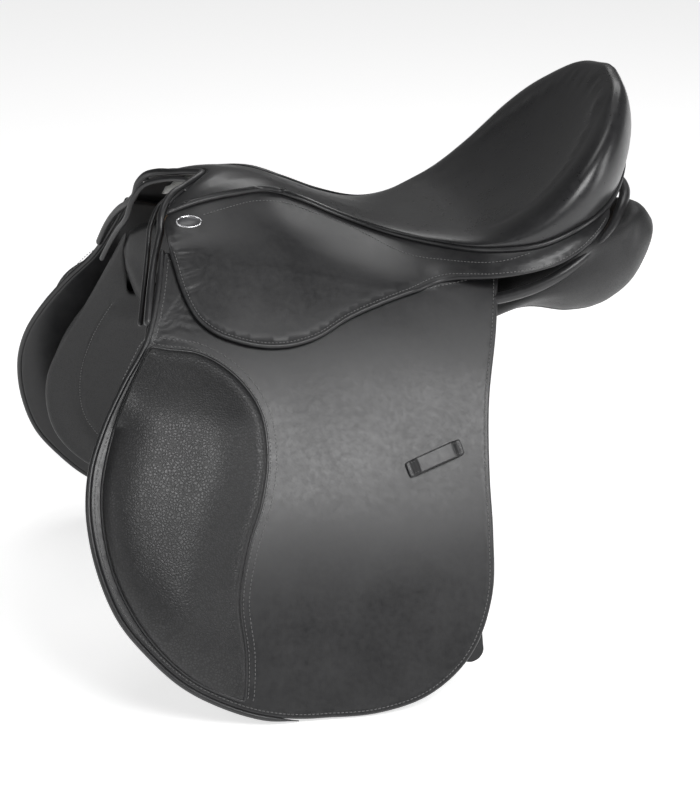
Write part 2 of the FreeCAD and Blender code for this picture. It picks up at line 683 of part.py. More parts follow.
def make_stirrup_bars():
    front = size("bar_front_x")
    rear = front - size("bar_length")
    thick = size("bar_section")
    inner = size("bar_inner_y")
    outer = inner + thick
    plate = size("bar_plate_y")
    back = plate - size("bar_plate")
    plate_rear = front - size("bar_plate_length")
    tongue_half = size("tongue_width") / 2 + size("tongue_clearance")
    middle = inner + thick / 2
    fork = rear + PIN_SETBACK * 2
    arm = front - 9

    body = doc.addObject("PartDesign::Body", "stirrup_bar_body")
    loop = [(front, back), (front, outer), (rear, outer), (rear, middle + tongue_half),
            (fork, middle + tongue_half), (fork, middle - tongue_half), (rear, middle - tongue_half),
            (rear, inner), (arm, inner), (arm, plate), (plate_rear, plate), (plate_rear, back)]
    pad(body, "bar_loop", loop, "sizes.bar_section", "sizes.bar_z - sizes.bar_section / 2")
    wall = [(front, back), (front, plate), (plate_rear, plate), (plate_rear, back)]
    pad(body, "bar_plate_wall", wall, "sizes.bar_plate_height",
        "sizes.bar_z - sizes.bar_plate_height / 2 + 3")
    hole = body.newObject("Sketcher::SketchObject", "pin_hole_sketch")
    hole.AttachmentSupport = [(origin_plane(body, "XZ_Plane"), "")]
    hole.MapMode = "FlatFace"
    pin_x = rear + PIN_SETBACK
    hole.addGeometry(Part.Circle(Vector(pin_x, size("bar_z"), 0), Vector(0, 0, 1),
                                 size("catch_pin_radius")), False)
    doc.recompute()
    before = body.Shape.Volume
    pocket = body.newObject("PartDesign::Pocket", "pin_hole")
    pocket.Profile = hole
    pocket.Type = "ThroughAll"
    pocket.Midplane = True
    doc.recompute()
    if body.Shape.Volume > before - 1:
        raise SystemExit("the catch pin's hole cut nothing")
    keep_pair(body, "stirrup_bar")

    catch = doc.addObject("PartDesign::Body", "stirrup_catch_body")
    half_tongue = size("tongue_width") / 2
    nose = pin_x - size("catch_length")
    shoulder = math.hypot(PIN_SETBACK, thick / 2) + size("tongue_clearance") + 0.1
    step = pin_x - shoulder
    outline = [(nose, inner), (step, inner), (step, middle - half_tongue),
               (pin_x + 3.2, middle - half_tongue), (pin_x + 3.2, middle + half_tongue),
               (step, middle + half_tongue), (step, outer), (nose, outer)]
    pad(catch, "catch_blank", outline, "sizes.bar_section - 1", "sizes.bar_z - sizes.bar_section / 2 + 0.5")
    bore = catch.newObject("Sketcher::SketchObject", "catch_bore_sketch")
    bore.AttachmentSupport = [(origin_plane(catch, "XZ_Plane"), "")]
    bore.MapMode = "FlatFace"
    bore.addGeometry(Part.Circle(Vector(pin_x, size("bar_z"), 0), Vector(0, 0, 1),
                                 size("catch_pin_radius") + size("pin_clearance")), False)
    doc.recompute()
    before = catch.Shape.Volume
    cut = catch.newObject("PartDesign::Pocket", "catch_bore")
    cut.Profile = bore
    cut.Type = "ThroughAll"
    cut.Midplane = True
    doc.recompute()
    if catch.Shape.Volume > before - 1:
        raise SystemExit("the catch's bore cut nothing")
    keep_pair(catch, "stirrup_catch")

    pin = doc.addObject("Part::Cylinder", "catch_pin_cylinder")
    pin.setExpression("Radius", "sizes.catch_pin_radius")
    pin.setExpression("Height", "sizes.bar_section")
    pin.Placement = FreeCAD.Placement(Vector(pin_x, 0, 0), FreeCAD.Rotation(Vector(1, 0, 0), -90))
    pin.setExpression("Placement.Base.y", "sizes.bar_inner_y")
    pin.setExpression("Placement.Base.z", "sizes.bar_z")
    keep_pair(pin, "catch_pin")


# ---------------------------------------------------------------- girth straps, sweat flap, panel

STRAPS = ("rear", "middle", "front")


def strap_x(index):
    """Rear and front edges of a girth strap."""
    centre = size("billet_middle_x") + (index - 1) * size("billet_pitch")
    half = size("billet_width") / 2
    return centre - half, centre + half


def rectangle_runs(rear, front, low, top):
    return [[(rear, low)], [(front, low)], [(front, top)], [(rear, top)]]


def make_billets():
    """Three straps a side, each with a fixed top and a hanging end with its buckle holes."""
    top = 58
    gap = size("split_gap") / 2
    hinge = size("billet_hinge_z")
    end = size("billet_end_z")
    tip = 14
    fixed = []
    for index, name in enumerate(STRAPS):
        rear, front = strap_x(index)
        middle = (rear + front) / 2
        runs = [[(rear, hinge - gap)], [(rear, end + tip), (rear + 3, end + 4), (middle, end),
                                        (front - 3, end + 4)], [(front, end + tip)], [(front, hinge - gap)]]
        strap = layer("billet_blank_" + name, runs, "sizes.billet_depth", "sizes.billet_leather")
        punches = doc.addObject("Part::Feature", "billet_punch_" + name)
        solids = []
        for step in range(6):
            centre = Vector(middle, 0, end + 34 + 22 * step)
            solids.append(Part.makeCylinder(2.5, size("side_reach"), centre, Vector(0, 1, 0)))
        punches.Shape = Part.makeCompound(solids)
        keep_pair(boolean("Cut", "billet_" + name, strap, punches), "billet_" + name)
        runs = rectangle_runs(rear, front, hinge + gap, top)
        fixed.append(layer("billet_top_" + name, runs, "sizes.billet_depth", "sizes.billet_leather"))
    tops = doc.addObject("Part::Compound", "billet_tops")
    tops.Links = fixed
    keep_pair(tops, "billet_tops")


def make_girth_webs():
    """Webbing over the tree rails that the girth straps hang from."""
    web = size("web_strap")
    outer = size("barrel_radius") - size("billet_depth") + 2 * FIT
    solids = []
    for rear, front in ((strap_x(0)[0], strap_x(1)[1]), (strap_x(2)[0], strap_x(2)[1])):
        between = [s[0] * ALONG for s in SEAT_STATIONS if rear < s[0] * ALONG < front]
        sections = []
        for x in sorted([rear, front] + between):
            level = seat_at(x)[3] - size("rail_drop") + FIT
            path = [(size("rail_inner_y"), level), (size("rail_outer_y") + 3, level),
                    (barrel_y(outer, 62), 62), (barrel_y(outer, 34), 34)]
            above = [(y + web * 0.7, z + web) for y, z in path]
            points = [Vector(x, y, z) for y, z in path + above[::-1]]
            sections.append(Part.makePolygon(points + [points[0]]))
        solids.append(loft(sections, True))
    keep_pair(feature("girth_webs", Part.makeCompound(solids)), "girth_webs")


def make_buckle_guards():
    """A leather sleeve round the three straps, which slides up and down them."""
    margin = 9
    wall = 2.5
    top = size("guard_top_z")
    low = top - size("guard_drop")
    rear = strap_x(0)[0] - margin
    front = strap_x(2)[1] + margin
    reach = "sizes.guard_gap + sizes.guard_leather"
    blank = layer("guard_blank", rectangle_runs(rear, front, low, top),
                  f"sizes.billet_depth - ({reach})", f"sizes.billet_leather + 2 * ({reach})")
    room = layer("guard_room", rectangle_runs(rear + wall, front - wall, low - 30, top + 30),
                 "sizes.billet_depth - sizes.guard_gap", "sizes.billet_leather + 2 * sizes.guard_gap")
    keep_pair(boolean("Cut", "buckle_guard", blank, room), "buckle_guard")


def make_sweat_flaps():
    runs = [
        flap_curve([(0.78, 0.22), (0.88, 0.36), (0.93, 0.52), (0.90, 0.70), (0.80, 0.83), (0.62, 0.90),
                    (0.40, 0.92), (0.22, 0.87), (0.13, 0.74)]),
        [flap_point(0.09, 0.48)],
        [flap_point(0.03, 0.24)],
    ]
    keep_pair(layer("sweat_flap", runs, "sizes.sweat_depth", "sizes.sweat_leather"), "sweat_flap")


def make_panel_flaps():
    """The padded lower panel: it lies on the horse's side and shows ahead of the flap."""
    runs = [
        flap_curve([(0.785, 0.06), (0.82, 0.18), (0.865, 0.31), (0.918, 0.435), (0.947, 0.54),
                    (0.947, 0.61), (0.92, 0.72), (0.865, 0.80), (0.75, 0.88), (0.55, 0.92), (0.35, 0.91),
                    (0.20, 0.85), (0.12, 0.72)]),
        [flap_point(0.08, 0.50)],
        [flap_point(0.03, 0.275)],
        [flap_point(0.762, 0.275)],
    ]
    keep_pair(layer("panel_flap", runs, "sizes.panel_flap_depth", "sizes.panel_flap_pad"), "panel_flap")


# Left cushion of the panel: at each x, points round the section from the gullet's top, down, out and back up.
PANEL_STATIONS = [
    (197, [(68, 82), (90, 36), (110, 4), (121, 3), (94, 34), (86, 56), (74, 82)]),
    (120, [(52, 66), (60, 30), (90, 2), (121, 3), (98, 34), (84, 56), (68, 70)]),
    (40, [(33, 50), (36, 14), (78, 0), (122, 3), (110, 34), (94, 54), (60, 64)]),
    (-40, [(32, 48), (34, 12), (76, 0), (122, 4), (112, 36), (94, 56), (60, 66)]),
    (-96, [(32, 52), (34, 26), (74, 14), (112, 24), (114, 44), (94, 60), (60, 70)]),
    (-130, [(32, 62), (34, 34), (74, 22), (120, 32), (140, 52), (132, 72), (66, 80)]),
    (-170, [(33, 78), (35, 42), (74, 25), (124, 36), (150, 70), (144, 92), (72, 98)]),
    (-208, [(37, 98), (39, 56), (76, 32), (122, 44), (141, 80), (134, 103), (80, 112)]),
    (-236, [(46, 110), (48, 78), (80, 55), (112, 66), (126, 94), (116, 116), (80, 120)]),
    (-249, [(64, 106), (66, 90), (82, 76), (100, 84), (108, 98), (100, 110), (82, 114)]),
]


def make_panels():
    wires = []
    for x, section in PANEL_STATIONS:
        points = [Vector(x * ALONG, y, z) for y, z in section]
        wires.append(closed_wire([points[:3], points[3:]]))
    keep_pair(feature("panel_cushion", loft(wires, True)), "panel")


# ---------------------------------------------------------------- small metal

def make_badges():
    """A plain oval stud near the front of each skirt."""
    long_half = 12
    short_half = 7.5
    height = 2.2
    x = 175 * ALONG
    sink = 0.6
    y_top, z_top = skirt_top(x)
    z_low = skirt_bend_z(x)
    radius = size("barrel_radius") + size("skirt_gap") + size("skirt_leather")
    run = Vector(0, barrel_y(radius, z_low) - y_top, z_low - z_top)
    outwards = Vector(0, -run.z, run.y).normalize()
    spot = Vector(x, y_top, z_top) + run * 0.22 - outwards * sink
    across = Vector(run).normalize()
    oval = Part.Ellipse(spot + Vector(long_half, 0, 0), spot + across * short_half, spot)
    stud = Part.Face(Part.Wire(oval.toShape())).extrude(outwards * height)
    keep_pair(feature("badge_stud", stud), "badge_stud")


def make_gullet_studs():
    """The domed rivet heads inside the arch that hold the gullet plate."""
    ball = 5.5
    base_angle = 35
    dome = doc.addObject("Part::Sphere", "gullet_stud_dome")
    dome.Radius = ball
    dome.Angle1 = base_angle
    dome.Angle2 = 90
    half = size("head_half_width") - size("head_wood") - FIT - size("plate_steel")
    rise = size("head_rise") - size("head_wood") - FIT - size("plate_steel")
    angle = math.radians(38)
    tangent = HEAD_TILT.multVec(Vector(0, -half * math.sin(angle), rise * math.cos(angle)))
    on_arch = HEAD_TILT.multVec(Vector(0, half * math.cos(angle), rise * math.sin(angle)))
    facing = Vector(0, -tangent.z, tangent.y).normalize()
    spot = head_foot() + on_arch + Vector(size("head_depth") / 2, 0, 0) + facing * FIT
    spot -= facing * ball * math.sin(math.radians(base_angle))
    dome.Placement = FreeCAD.Placement(spot, FreeCAD.Rotation(Vector(0, 0, 1), facing))
    keep_pair(dome, "gullet_stud")


make_flaps()
make_knee_rolls()
make_keepers()
make_skirts()
make_seat()
make_welts()
make_skirt_uppers()
make_cantle_facing()
make_pommel_binding()
make_head()
make_rails()
make_cantle()
make_webs()
make_stirrup_bars()
make_billets()
make_girth_webs()
make_buckle_guards()
make_sweat_flaps()
make_panel_flaps()
make_panels()
make_badges()
make_gullet_studs()
doc.recompute()

faults = []
for item in doc.Objects:
    if "Invalid" in item.State or "Error" in item.State:
        faults.append(f"{item.Name}: {item.State}")
for part in parts:
    if part.Shape.isNull() or not part.Shape.isValid() or not part.Shape.Solids:
        faults.append(f"{part.Label}: no valid solid")
if faults:
    raise SystemExit("\n".join(faults))

os.makedirs("parts", exist_ok=True)
for part in parts:
    part.Shape.exportStep(f"parts/{part.Label}.step")
box = Part.makeCompound([part.Shape for part in parts]).BoundBox
print(len(parts), "sub-parts", "x", round(box.XMin), round(box.XMax), "y", round(box.YMin), round(box.YMax),
      "z", round(box.ZMin), round(box.ZMax))
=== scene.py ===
import math

import bpy
import numpy as np
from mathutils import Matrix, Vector
from mathutils.geometry import delaunay_2d_cdt


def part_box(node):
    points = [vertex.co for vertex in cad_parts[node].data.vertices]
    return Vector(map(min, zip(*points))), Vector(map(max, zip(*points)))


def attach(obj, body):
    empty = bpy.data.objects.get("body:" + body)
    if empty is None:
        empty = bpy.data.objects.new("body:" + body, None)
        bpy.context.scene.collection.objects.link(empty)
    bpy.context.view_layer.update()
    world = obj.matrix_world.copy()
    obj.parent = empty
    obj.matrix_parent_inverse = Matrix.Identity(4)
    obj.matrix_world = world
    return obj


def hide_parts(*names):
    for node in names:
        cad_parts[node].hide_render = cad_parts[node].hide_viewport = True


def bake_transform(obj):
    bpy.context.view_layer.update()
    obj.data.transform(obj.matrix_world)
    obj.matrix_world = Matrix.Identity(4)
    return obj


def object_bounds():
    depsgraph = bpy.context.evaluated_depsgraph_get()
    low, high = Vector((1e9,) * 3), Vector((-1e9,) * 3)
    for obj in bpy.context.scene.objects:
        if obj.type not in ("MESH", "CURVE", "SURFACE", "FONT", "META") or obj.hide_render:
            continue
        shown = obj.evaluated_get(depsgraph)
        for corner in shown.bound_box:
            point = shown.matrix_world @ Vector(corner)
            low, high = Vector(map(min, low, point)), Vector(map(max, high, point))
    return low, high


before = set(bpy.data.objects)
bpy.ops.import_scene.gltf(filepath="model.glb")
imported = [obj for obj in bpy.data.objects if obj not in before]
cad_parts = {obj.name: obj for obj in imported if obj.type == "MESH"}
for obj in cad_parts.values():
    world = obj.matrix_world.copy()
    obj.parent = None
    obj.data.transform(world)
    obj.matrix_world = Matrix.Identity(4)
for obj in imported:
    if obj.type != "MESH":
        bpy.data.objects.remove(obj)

# Looks for the english saddle.  Lengths are millimetres until a mesh is made, in the frame's own axes:
# +X to the horse's head, +Y to the near (left) side, +Z up.  Side leathers are bent round the horse's barrel,
# so an outline is drawn in (x, z) and laid on a cylinder; the right side is always the left one mirrored.

CAD_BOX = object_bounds()
MM = 0.001
SIDES = (("left", 1), ("right", -1))

# ---------------------------------------------------------------- places shared with the frame

BARREL_Y = -487
BARREL_Z = -444
FLAP_RADIUS = 800          # outer face of the flap
FLAP_THICK = 4
SKIRT_RADIUS = 806         # outer face of the skirt
SKIRT_THICK = 3
FLAP_REAR_X, FLAP_FRONT_X = -100, 292
FLAP_TOP_Z, FLAP_LOW_Z = 102, -272
FLAP_BEND = ((228, 43), (-100, -27))
SKIRT_BEND = ((200, 108), (-30, 62))
WELT_RADIUS = 2.4
STITCH_INSET = 4.6

# Along the seat: x, half-width at the welt, welt height, rim height at three quarters of the half-width, and
# height of the middle.
SEAT = np.array([
    (-245, 8, 156, 238, 239), (-241, 25, 155, 237, 238), (-235, 56, 151, 233, 233), (-222, 84, 139, 222, 219),
    (-201, 113, 126, 199, 190), (-172, 136, 115.5, 167, 157), (-133, 143, 102.5, 131, 124), (-90, 130, 97, 106, 104),
    (-48, 92, 95.5, 101, 101), (-8, 60, 101, 105, 106), (34, 42, 115.5, 118, 120), (67, 36, 130, 132.5, 134),
    (97, 40, 140.5, 143, 146), (127, 48, 141, 146.5, 151), (170, 57, 136, 141.5, 147), (190, 60, 131, 134, 137),
    (205, 60, 124, 127, 129)], float)


# ---------------------------------------------------------------- curves

def spline(knots, values, at):
    """A smooth curve through the values at rising knots."""
    knots = np.asarray(knots, float)
    values = np.asarray(values, float)
    at = np.asarray(at, float)
    deep = (slice(None),) + (None,) * (values.ndim - 1)
    gaps = np.diff(knots)
    chords = np.diff(values, axis=0) / gaps[deep]
    slopes = np.empty_like(values)
    if len(knots) == 2:
        slopes[:] = chords[0]
    else:
        before, after = gaps[:-1][deep], gaps[1:][deep]
        slopes[1:-1] = (before * chords[1:] + after * chords[:-1]) / (before + after)
        slopes[0] = 1.5 * chords[0] - 0.5 * slopes[1]
        slopes[-1] = 1.5 * chords[-1] - 0.5 * slopes[-2]
    i = np.clip(np.searchsorted(knots, at, side="right") - 1, 0, len(gaps) - 1)
    t = np.clip((at - knots[i]) / gaps[i], 0, 1)[deep]
    gap = gaps[i][deep]
    return ((2 * t ** 3 - 3 * t ** 2 + 1) * values[i] + (t ** 3 - 2 * t ** 2 + t) * gap * slopes[i]
            + (3 * t ** 2 - 2 * t ** 3) * values[i + 1] + (t ** 3 - t ** 2) * gap * slopes[i + 1])


def path(points, step, closed=False, count=None):
    """Evenly spaced points on the smooth curve through the given ones."""
    points = np.asarray(points, float)
    lap = 3 if closed else 0
    if closed:
        n = len(points)
        points = points[np.arange(-lap, n + lap + 1) % n]
    knots = np.concatenate([[0], np.cumsum(np.linalg.norm(np.diff(points, axis=0), axis=1))])
    start, stop = (knots[lap], knots[-1 - lap])
    fine = spline(knots, points, np.linspace(start, stop, 40 * len(points)))
    along = np.concatenate([[0], np.cumsum(np.linalg.norm(np.diff(fine, axis=0), axis=1))])
    number = count or max(2, round(along[-1] / step))
    marks = np.linspace(0, along[-1], number + 1)
    if closed:
        marks = marks[:-1]
    return np.stack([np.interp(marks, along, column) for column in fine.T], axis=1)


def joined(runs, step):
    """A closed outline of smooth runs; each starts where the last one ended, so the corners stay corners."""
    pieces = []
    for run, after in zip(runs, runs[1:] + runs[:1]):
        pieces.append(path(list(run) + [after[0]], step)[:-1])
    return np.concatenate(pieces)


def soften(outline, passes):
    """Round an outline's corners a little."""
    for _ in range(passes):
        outline = 0.5 * outline + 0.25 * (np.roll(outline, 1, 0) + np.roll(outline, -1, 0))
    return outline


def counterclockwise(outline):
    x, y = outline[:, 0], outline[:, 1]
    area = np.sum(x * np.roll(y, -1) - y * np.roll(x, -1))
    return outline if area > 0 else outline[::-1]


def inward(outline):
    """Unit normals that point into a counterclockwise outline."""
    tangent = np.roll(outline, -1, 0) - np.roll(outline, 1, 0)
    tangent /= np.linalg.norm(tangent, axis=1)[:, None]
    return np.stack([-tangent[:, 1], tangent[:, 0]], axis=1)


def distance(points, line, closed=False):
    """Distance of each 2-D point to a polyline."""
    starts = line if closed else line[:-1]
    ends = np.roll(line, -1, 0) if closed else line[1:]
    runs = ends - starts
    lengths = np.maximum((runs ** 2).sum(1), 1e-9)
    found = []
    for block in np.array_split(points, max(1, len(points) * len(line) // 400000)):
        gap = block[:, None, :] - starts[None]
        share = np.clip((gap * runs).sum(2) / lengths, 0, 1)
        found.append(np.sqrt(((gap - share[..., None] * runs) ** 2).sum(2).min(1)))
    return np.concatenate(found)


def inside(points, outline):
    """Which 2-D points lie in a closed outline."""
    x, y = points[:, 0][:, None], points[:, 1][:, None]
    x0, y0 = outline[:, 0], outline[:, 1]
    x1, y1 = np.roll(x0, -1), np.roll(y0, -1)
    level = (y0 > y) != (y1 > y)
    rise = np.where(y1 == y0, 1e-9, y1 - y0)
    return (level & (x < x0 + (y - y0) / rise * (x1 - x0))).sum(1) % 2 == 1


def ease(value, low, high):
    """0 below low, 1 above high, and smooth between."""
    t = np.clip((value - low) / (high - low), 0, 1)
    return t * t * (3 - 2 * t)


def dome(d, width):
    """A quarter-ellipse rise from 0 at an edge to 1 at that distance in."""
    return np.sqrt(1 - (1 - np.clip(d / width, 0, 1)) ** 2)


def dent(points, line, width):
    """A soft groove along a 2-D line: 1 on it, 0 away from it."""
    return np.exp(-(distance(points, line) / width) ** 2)


# ---------------------------------------------------------------- meshes

def add_mesh(name, points, faces, materials, slots=None):
    mesh = bpy.data.meshes.new(name)
    mesh.from_pydata((np.asarray(points) * MM).tolist(), [], [list(map(int, face)) for face in faces])
    mesh.update()
    mesh.shade_smooth()
    for material in materials if isinstance(materials, (list, tuple)) else [materials]:
        mesh.materials.append(material)
    if slots is not None:
        mesh.polygons.foreach_set("material_index", slots)
    piece = bpy.data.objects.new(name, mesh)
    bpy.context.scene.collection.objects.link(piece)
    return piece


def pair(name, shape, materials, finish, slots=None):
    """The left piece and its mirror image on the right; finish says what each rides on."""
    points, faces = shape
    made = []
    for side, sign in SIDES:
        placed = np.asarray(points) * (1, sign, 1)
        turned = faces if sign > 0 else [face[::-1] for face in faces]
        piece = add_mesh(f"{name}_{side}", placed, turned, materials, slots)
        finish(piece, side)
        made.append(piece)
    return made


def merge(shapes):
    """Several (points, faces) as one."""
    points, faces, start = [], [], 0
    for some, more in shapes:
        points.append(np.asarray(some))
        faces += [[index + start for index in face] for face in more]
        start += len(some)
    return np.concatenate(points), faces


def interior(outline, rings, step, extra=None):
    """2-D points and triangles that fill an outline: close rings at its edge and an even grid inside."""
    normals = inward(outline)
    layers = [outline] + [outline + inset * normals for inset in rings]
    low, high = outline.min(0), outline.max(0)
    rows = np.arange(low[1], high[1], step * 0.866)
    grid = np.array([(x + (row % 2) * step / 2, y) for row, y in enumerate(rows)
                     for x in np.arange(low[0], high[0], step)])
    if extra is not None:
        grid = np.concatenate([grid[distance(grid, extra) > step * 0.7], extra]) if len(extra) else grid
    grid = grid[inside(grid, outline)]
    deepest = rings[-1] if len(rings) else 0
    grid = grid[distance(grid, outline, True) > deepest + 0.55 * step]
    ringed = [outline]
    for inset, layer in zip(rings, layers[1:]):
        clear = distance(layer, outline, True) > 0.93 * inset
        ringed.append(layer[clear & inside(layer, outline)])
    flat = np.concatenate(ringed + [grid])
    number = len(outline)
    edges = [(i, (i + 1) % number) for i in range(number)]
    found = delaunay_2d_cdt([Vector(p) for p in flat.tolist()], edges, [list(range(number))], 1, 1e-4)
    flat = np.array([tuple(v) for v in found[0]])
    triangles = np.array([face for face in found[2] if len(face) == 3])
    a, b, c = (flat[triangles[:, k]] for k in range(3))
    turn = (b[:, 0] - a[:, 0]) * (c[:, 1] - a[:, 1]) - (b[:, 1] - a[:, 1]) * (c[:, 0] - a[:, 0])
    triangles[turn < 0] = triangles[turn < 0][:, ::-1]
    return flat, triangles[np.abs(turn) > 1e-6]


def slab(outline, place, front, back, step=4, rings=(0.5, 1.2, 2.2, 4), extra=None):
    """A closed sheet or pad: place lays 2-D points on a surface, front and back are heights over it.
    Both faces meet on the outline, so front and back are 0 there."""
    outline = counterclockwise(outline)
    flat, triangles = interior(outline, rings, step, extra)
    d = distance(flat, outline, True)
    edge = d < 1e-3
    base, normals = place(flat)
    over = base + normals * np.where(edge, 0, front(flat, d))[:, None]
    under = base - normals * np.where(edge, 0, back(flat, d))[:, None]
    index = np.full(len(flat), -1)
    index[~edge] = len(flat) + np.arange((~edge).sum())
    index[edge] = np.nonzero(edge)[0]
    points = np.concatenate([over, under[~edge]])
    a, b, c = (over[triangles[:, k]] for k in range(3))
    facing = (np.cross(b - a, c - a) * normals[triangles[:, 0]]).sum()
    if facing < 0:
        triangles = triangles[:, ::-1]
    faces = triangles.tolist() + index[triangles[:, ::-1]].tolist()
    return points, faces


def frames(points, closed=False):
    """Tangents and two side directions along a line, turning as little as possible."""
    ahead = np.roll(points, -1, 0) if closed else np.concatenate([points[1:], points[-1:]])
    behind = np.roll(points, 1, 0) if closed else np.concatenate([points[:1], points[:-1]])
    tangents = ahead - behind
    tangents /= np.linalg.norm(tangents, axis=1)[:, None]
    side = np.cross(tangents[0], (0, 0, 1) if abs(tangents[0][2]) < 0.9 else (1, 0, 0))
    firsts = []
    for tangent in tangents:
        side = side - tangent * side.dot(tangent)
        side /= np.linalg.norm(side)
        firsts.append(side)
    firsts = np.array(firsts)
    return tangents, firsts, np.cross(tangents, firsts)


def tube(points, radius, sides=12):
    """A round cord along the points with rounded ends."""
    points = np.asarray(points, float)
    radius = np.broadcast_to(np.asarray(radius, float), len(points)).copy()
    tangents, first, second = frames(points)
    turns = np.linspace(0, 2 * math.pi, sides, endpoint=False)
    caps = [(0.0, 1.0), (0.6, 0.8), (0.9, 0.44)]
    centres = [points[0] - tangents[0] * radius[0] * out for out, _ in caps[:0:-1]]
    widths = [radius[0] * share for _, share in caps[:0:-1]]
    order = [0] * len(widths) + list(range(len(points))) + [len(points) - 1] * (len(caps) - 1)
    centres += list(points) + [points[-1] + tangents[-1] * radius[-1] * out for out, _ in caps[1:]]
    widths += list(radius) + [radius[-1] * share for _, share in caps[1:]]
    rings = []
    for centre, width, k in zip(centres, widths, order):
        rings.append(centre + width * (np.cos(turns)[:, None] * first[k] + np.sin(turns)[:, None] * second[k]))
    return skin(rings)


def skin(rings, poles=None):
    """Faces between closed rings of points, with a point closing each end."""
    rings = [np.asarray(ring) for ring in rings]
    sides = len(rings[0])
    ends = poles or (rings[0].mean(0), rings[-1].mean(0))
    points = np.concatenate(rings + [np.array([ends[0], ends[1]])])
    faces = []
    for k in range(len(rings) - 1):
        for i in range(sides):
            j = (i + 1) % sides
            faces.append([k * sides + i, k * sides + j, (k + 1) * sides + j, (k + 1) * sides + i])
    first, last = len(points) - 2, len(points) - 1
    start = (len(rings) - 1) * sides
    for i in range(sides):
        j = (i + 1) % sides
        faces.append([first, j, i])
        faces.append([last, start + i, start + j])
    volume = sum(np.dot(points[f[0]], np.cross(points[f[1]], points[f[2]])) for f in
                 [g[:3] for g in faces] + [[g[0], g[2], g[3]] for g in faces if len(g) == 4])
    return points, faces if volume > 0 else [face[::-1] for face in faces]


def stitches(points, normals, length=2.5, pitch=3.7, width=0.42, sink=0.12):
    """A row of thread stitches along a line on a surface."""
    points = np.asarray(points, float)
    along = np.concatenate([[0], np.cumsum(np.linalg.norm(np.diff(points, axis=0), axis=1))])
    count = int(along[-1] / pitch)
    if count < 1:
        return np.zeros((0, 3)), []
    marks = (np.arange(count) + 0.5) * along[-1] / count

    def at(where, values):
        return np.stack([np.interp(where, along, column) for column in np.asarray(values).T], axis=1)

    middle = at(marks, points)
    tangent = at(marks + length / 2, points) - at(marks - length / 2, points)
    tangent /= np.linalg.norm(tangent, axis=1)[:, None]
    up = at(marks, normals)
    up -= tangent * (up * tangent).sum(1)[:, None]
    up /= np.linalg.norm(up, axis=1)[:, None]
    across = np.cross(tangent, up)
    profile = [(-0.5, 0.3), (-0.36, 0.85), (0.0, 1.0), (0.36, 0.85), (0.5, 0.3)]
    turns = np.linspace(0, 2 * math.pi, 6, endpoint=False)
    shapes = []
    for c, t, u, a in zip(middle, tangent, up, across):
        rings = []
        for share, fat in profile:
            lift = width * (0.55 - 1.6 * abs(share)) - sink
            centre = c + t * share * length + u * lift
            rings.append(centre + width * fat * (np.cos(turns)[:, None] * a + np.sin(turns)[:, None] * u))
        shapes.append(skin(rings))
    return merge(shapes)


# ---------------------------------------------------------------- surfaces

def barrel(radius):
    """Lays (x, z) points on the barrel cylinder of that radius, with outward normals."""
    def place(flat):
        rise = flat[:, 1] - BARREL_Z
        out = np.sqrt(radius ** 2 - rise ** 2)
        normals = np.stack([np.zeros(len(flat)), out / radius, rise / radius], axis=1)
        return np.stack([flat[:, 0], BARREL_Y + out, flat[:, 1]], axis=1), normals
    return place


def seat_row(x):
    """Half-width, welt, rim and middle heights of the seat at each x."""
    return spline(SEAT[:, 0], SEAT[:, 1:], np.clip(x, SEAT[0, 0], SEAT[-1, 0]))


def seat_top(x, y):
    """Height of the seat's surface, as it would be with no rolled edge."""
    half, _, rim, middle = seat_row(x).T
    share = np.abs(y) / np.maximum(half, 30)
    return middle + (rim - middle) * (share / 0.75) ** 2


def flap_point(forward, down):
    """A point of the flap: 0 to 1 from its rear to its front, and 0 to 1 from top to bottom."""
    return (FLAP_REAR_X + forward * (FLAP_FRONT_X - FLAP_REAR_X), FLAP_TOP_Z + down * (FLAP_LOW_Z - FLAP_TOP_Z))


def flap_points(shares):
    return [flap_point(forward, down) for forward, down in shares]


SKIRT_REAR = np.array([(-203, 119, 113), (-189, 138, 107), (-172, 148, 96), (-151, 154, 86), (-118, 155, 77),
                       (-90, 150, 72), (-48, 137.5, 66), (-30, 138, 62)], float)


def skirt_bend_z(x):
    (x1, z1), (x0, z0) = SKIRT_BEND
    return z0 + (x - x0) / (x1 - x0) * (z1 - z0)


def skirt_y(x, z):
    """How far out the skirt's outer face is."""
    half, welt, _, _ = seat_row(x).T
    top_y, top_z = half + 1.5, welt - 3
    barrel_out = BARREL_Y + np.sqrt(SKIRT_RADIUS ** 2 - (z - BARREL_Z) ** 2)
    barrel_top = BARREL_Y + np.sqrt(SKIRT_RADIUS ** 2 - (top_z - BARREL_Z) ** 2)
    share = np.clip((z - skirt_bend_z(x)) / np.maximum(top_z - skirt_bend_z(x), 4), 0, 1.1)
    front = barrel_out + (top_y - barrel_top) * share ** 1.4
    low = spline(SKIRT_REAR[:, 0], SKIRT_REAR[:, 1:], np.clip(x, -203, -30))
    rise = np.clip((z - low[:, 1]) / np.maximum(top_z - low[:, 1], 4), -0.1, 1.1)
    rear = low[:, 0] + (top_y - low[:, 0]) * rise + 3 * np.sin(math.pi * np.clip(rise, 0, 1))
    mix = ease(x, -64, -16)
    return mix * front + (1 - mix) * rear


def skirt_place(flat):
    x, z = flat[:, 0], flat[:, 1]
    y = skirt_y(x, z)
    nudge = 0.5
    by_x = (skirt_y(x + nudge, z) - skirt_y(x - nudge, z)) / (2 * nudge)
    by_z = (skirt_y(x, z + nudge) - skirt_y(x, z - nudge)) / (2 * nudge)
    normals = np.stack([-by_x, np.ones(len(x)), -by_z], axis=1)
    normals /= np.linalg.norm(normals, axis=1)[:, None]
    points = np.stack([x, y, z], axis=1) - normals * SKIRT_THICK / 2
    return points, normals


# ---------------------------------------------------------------- materials

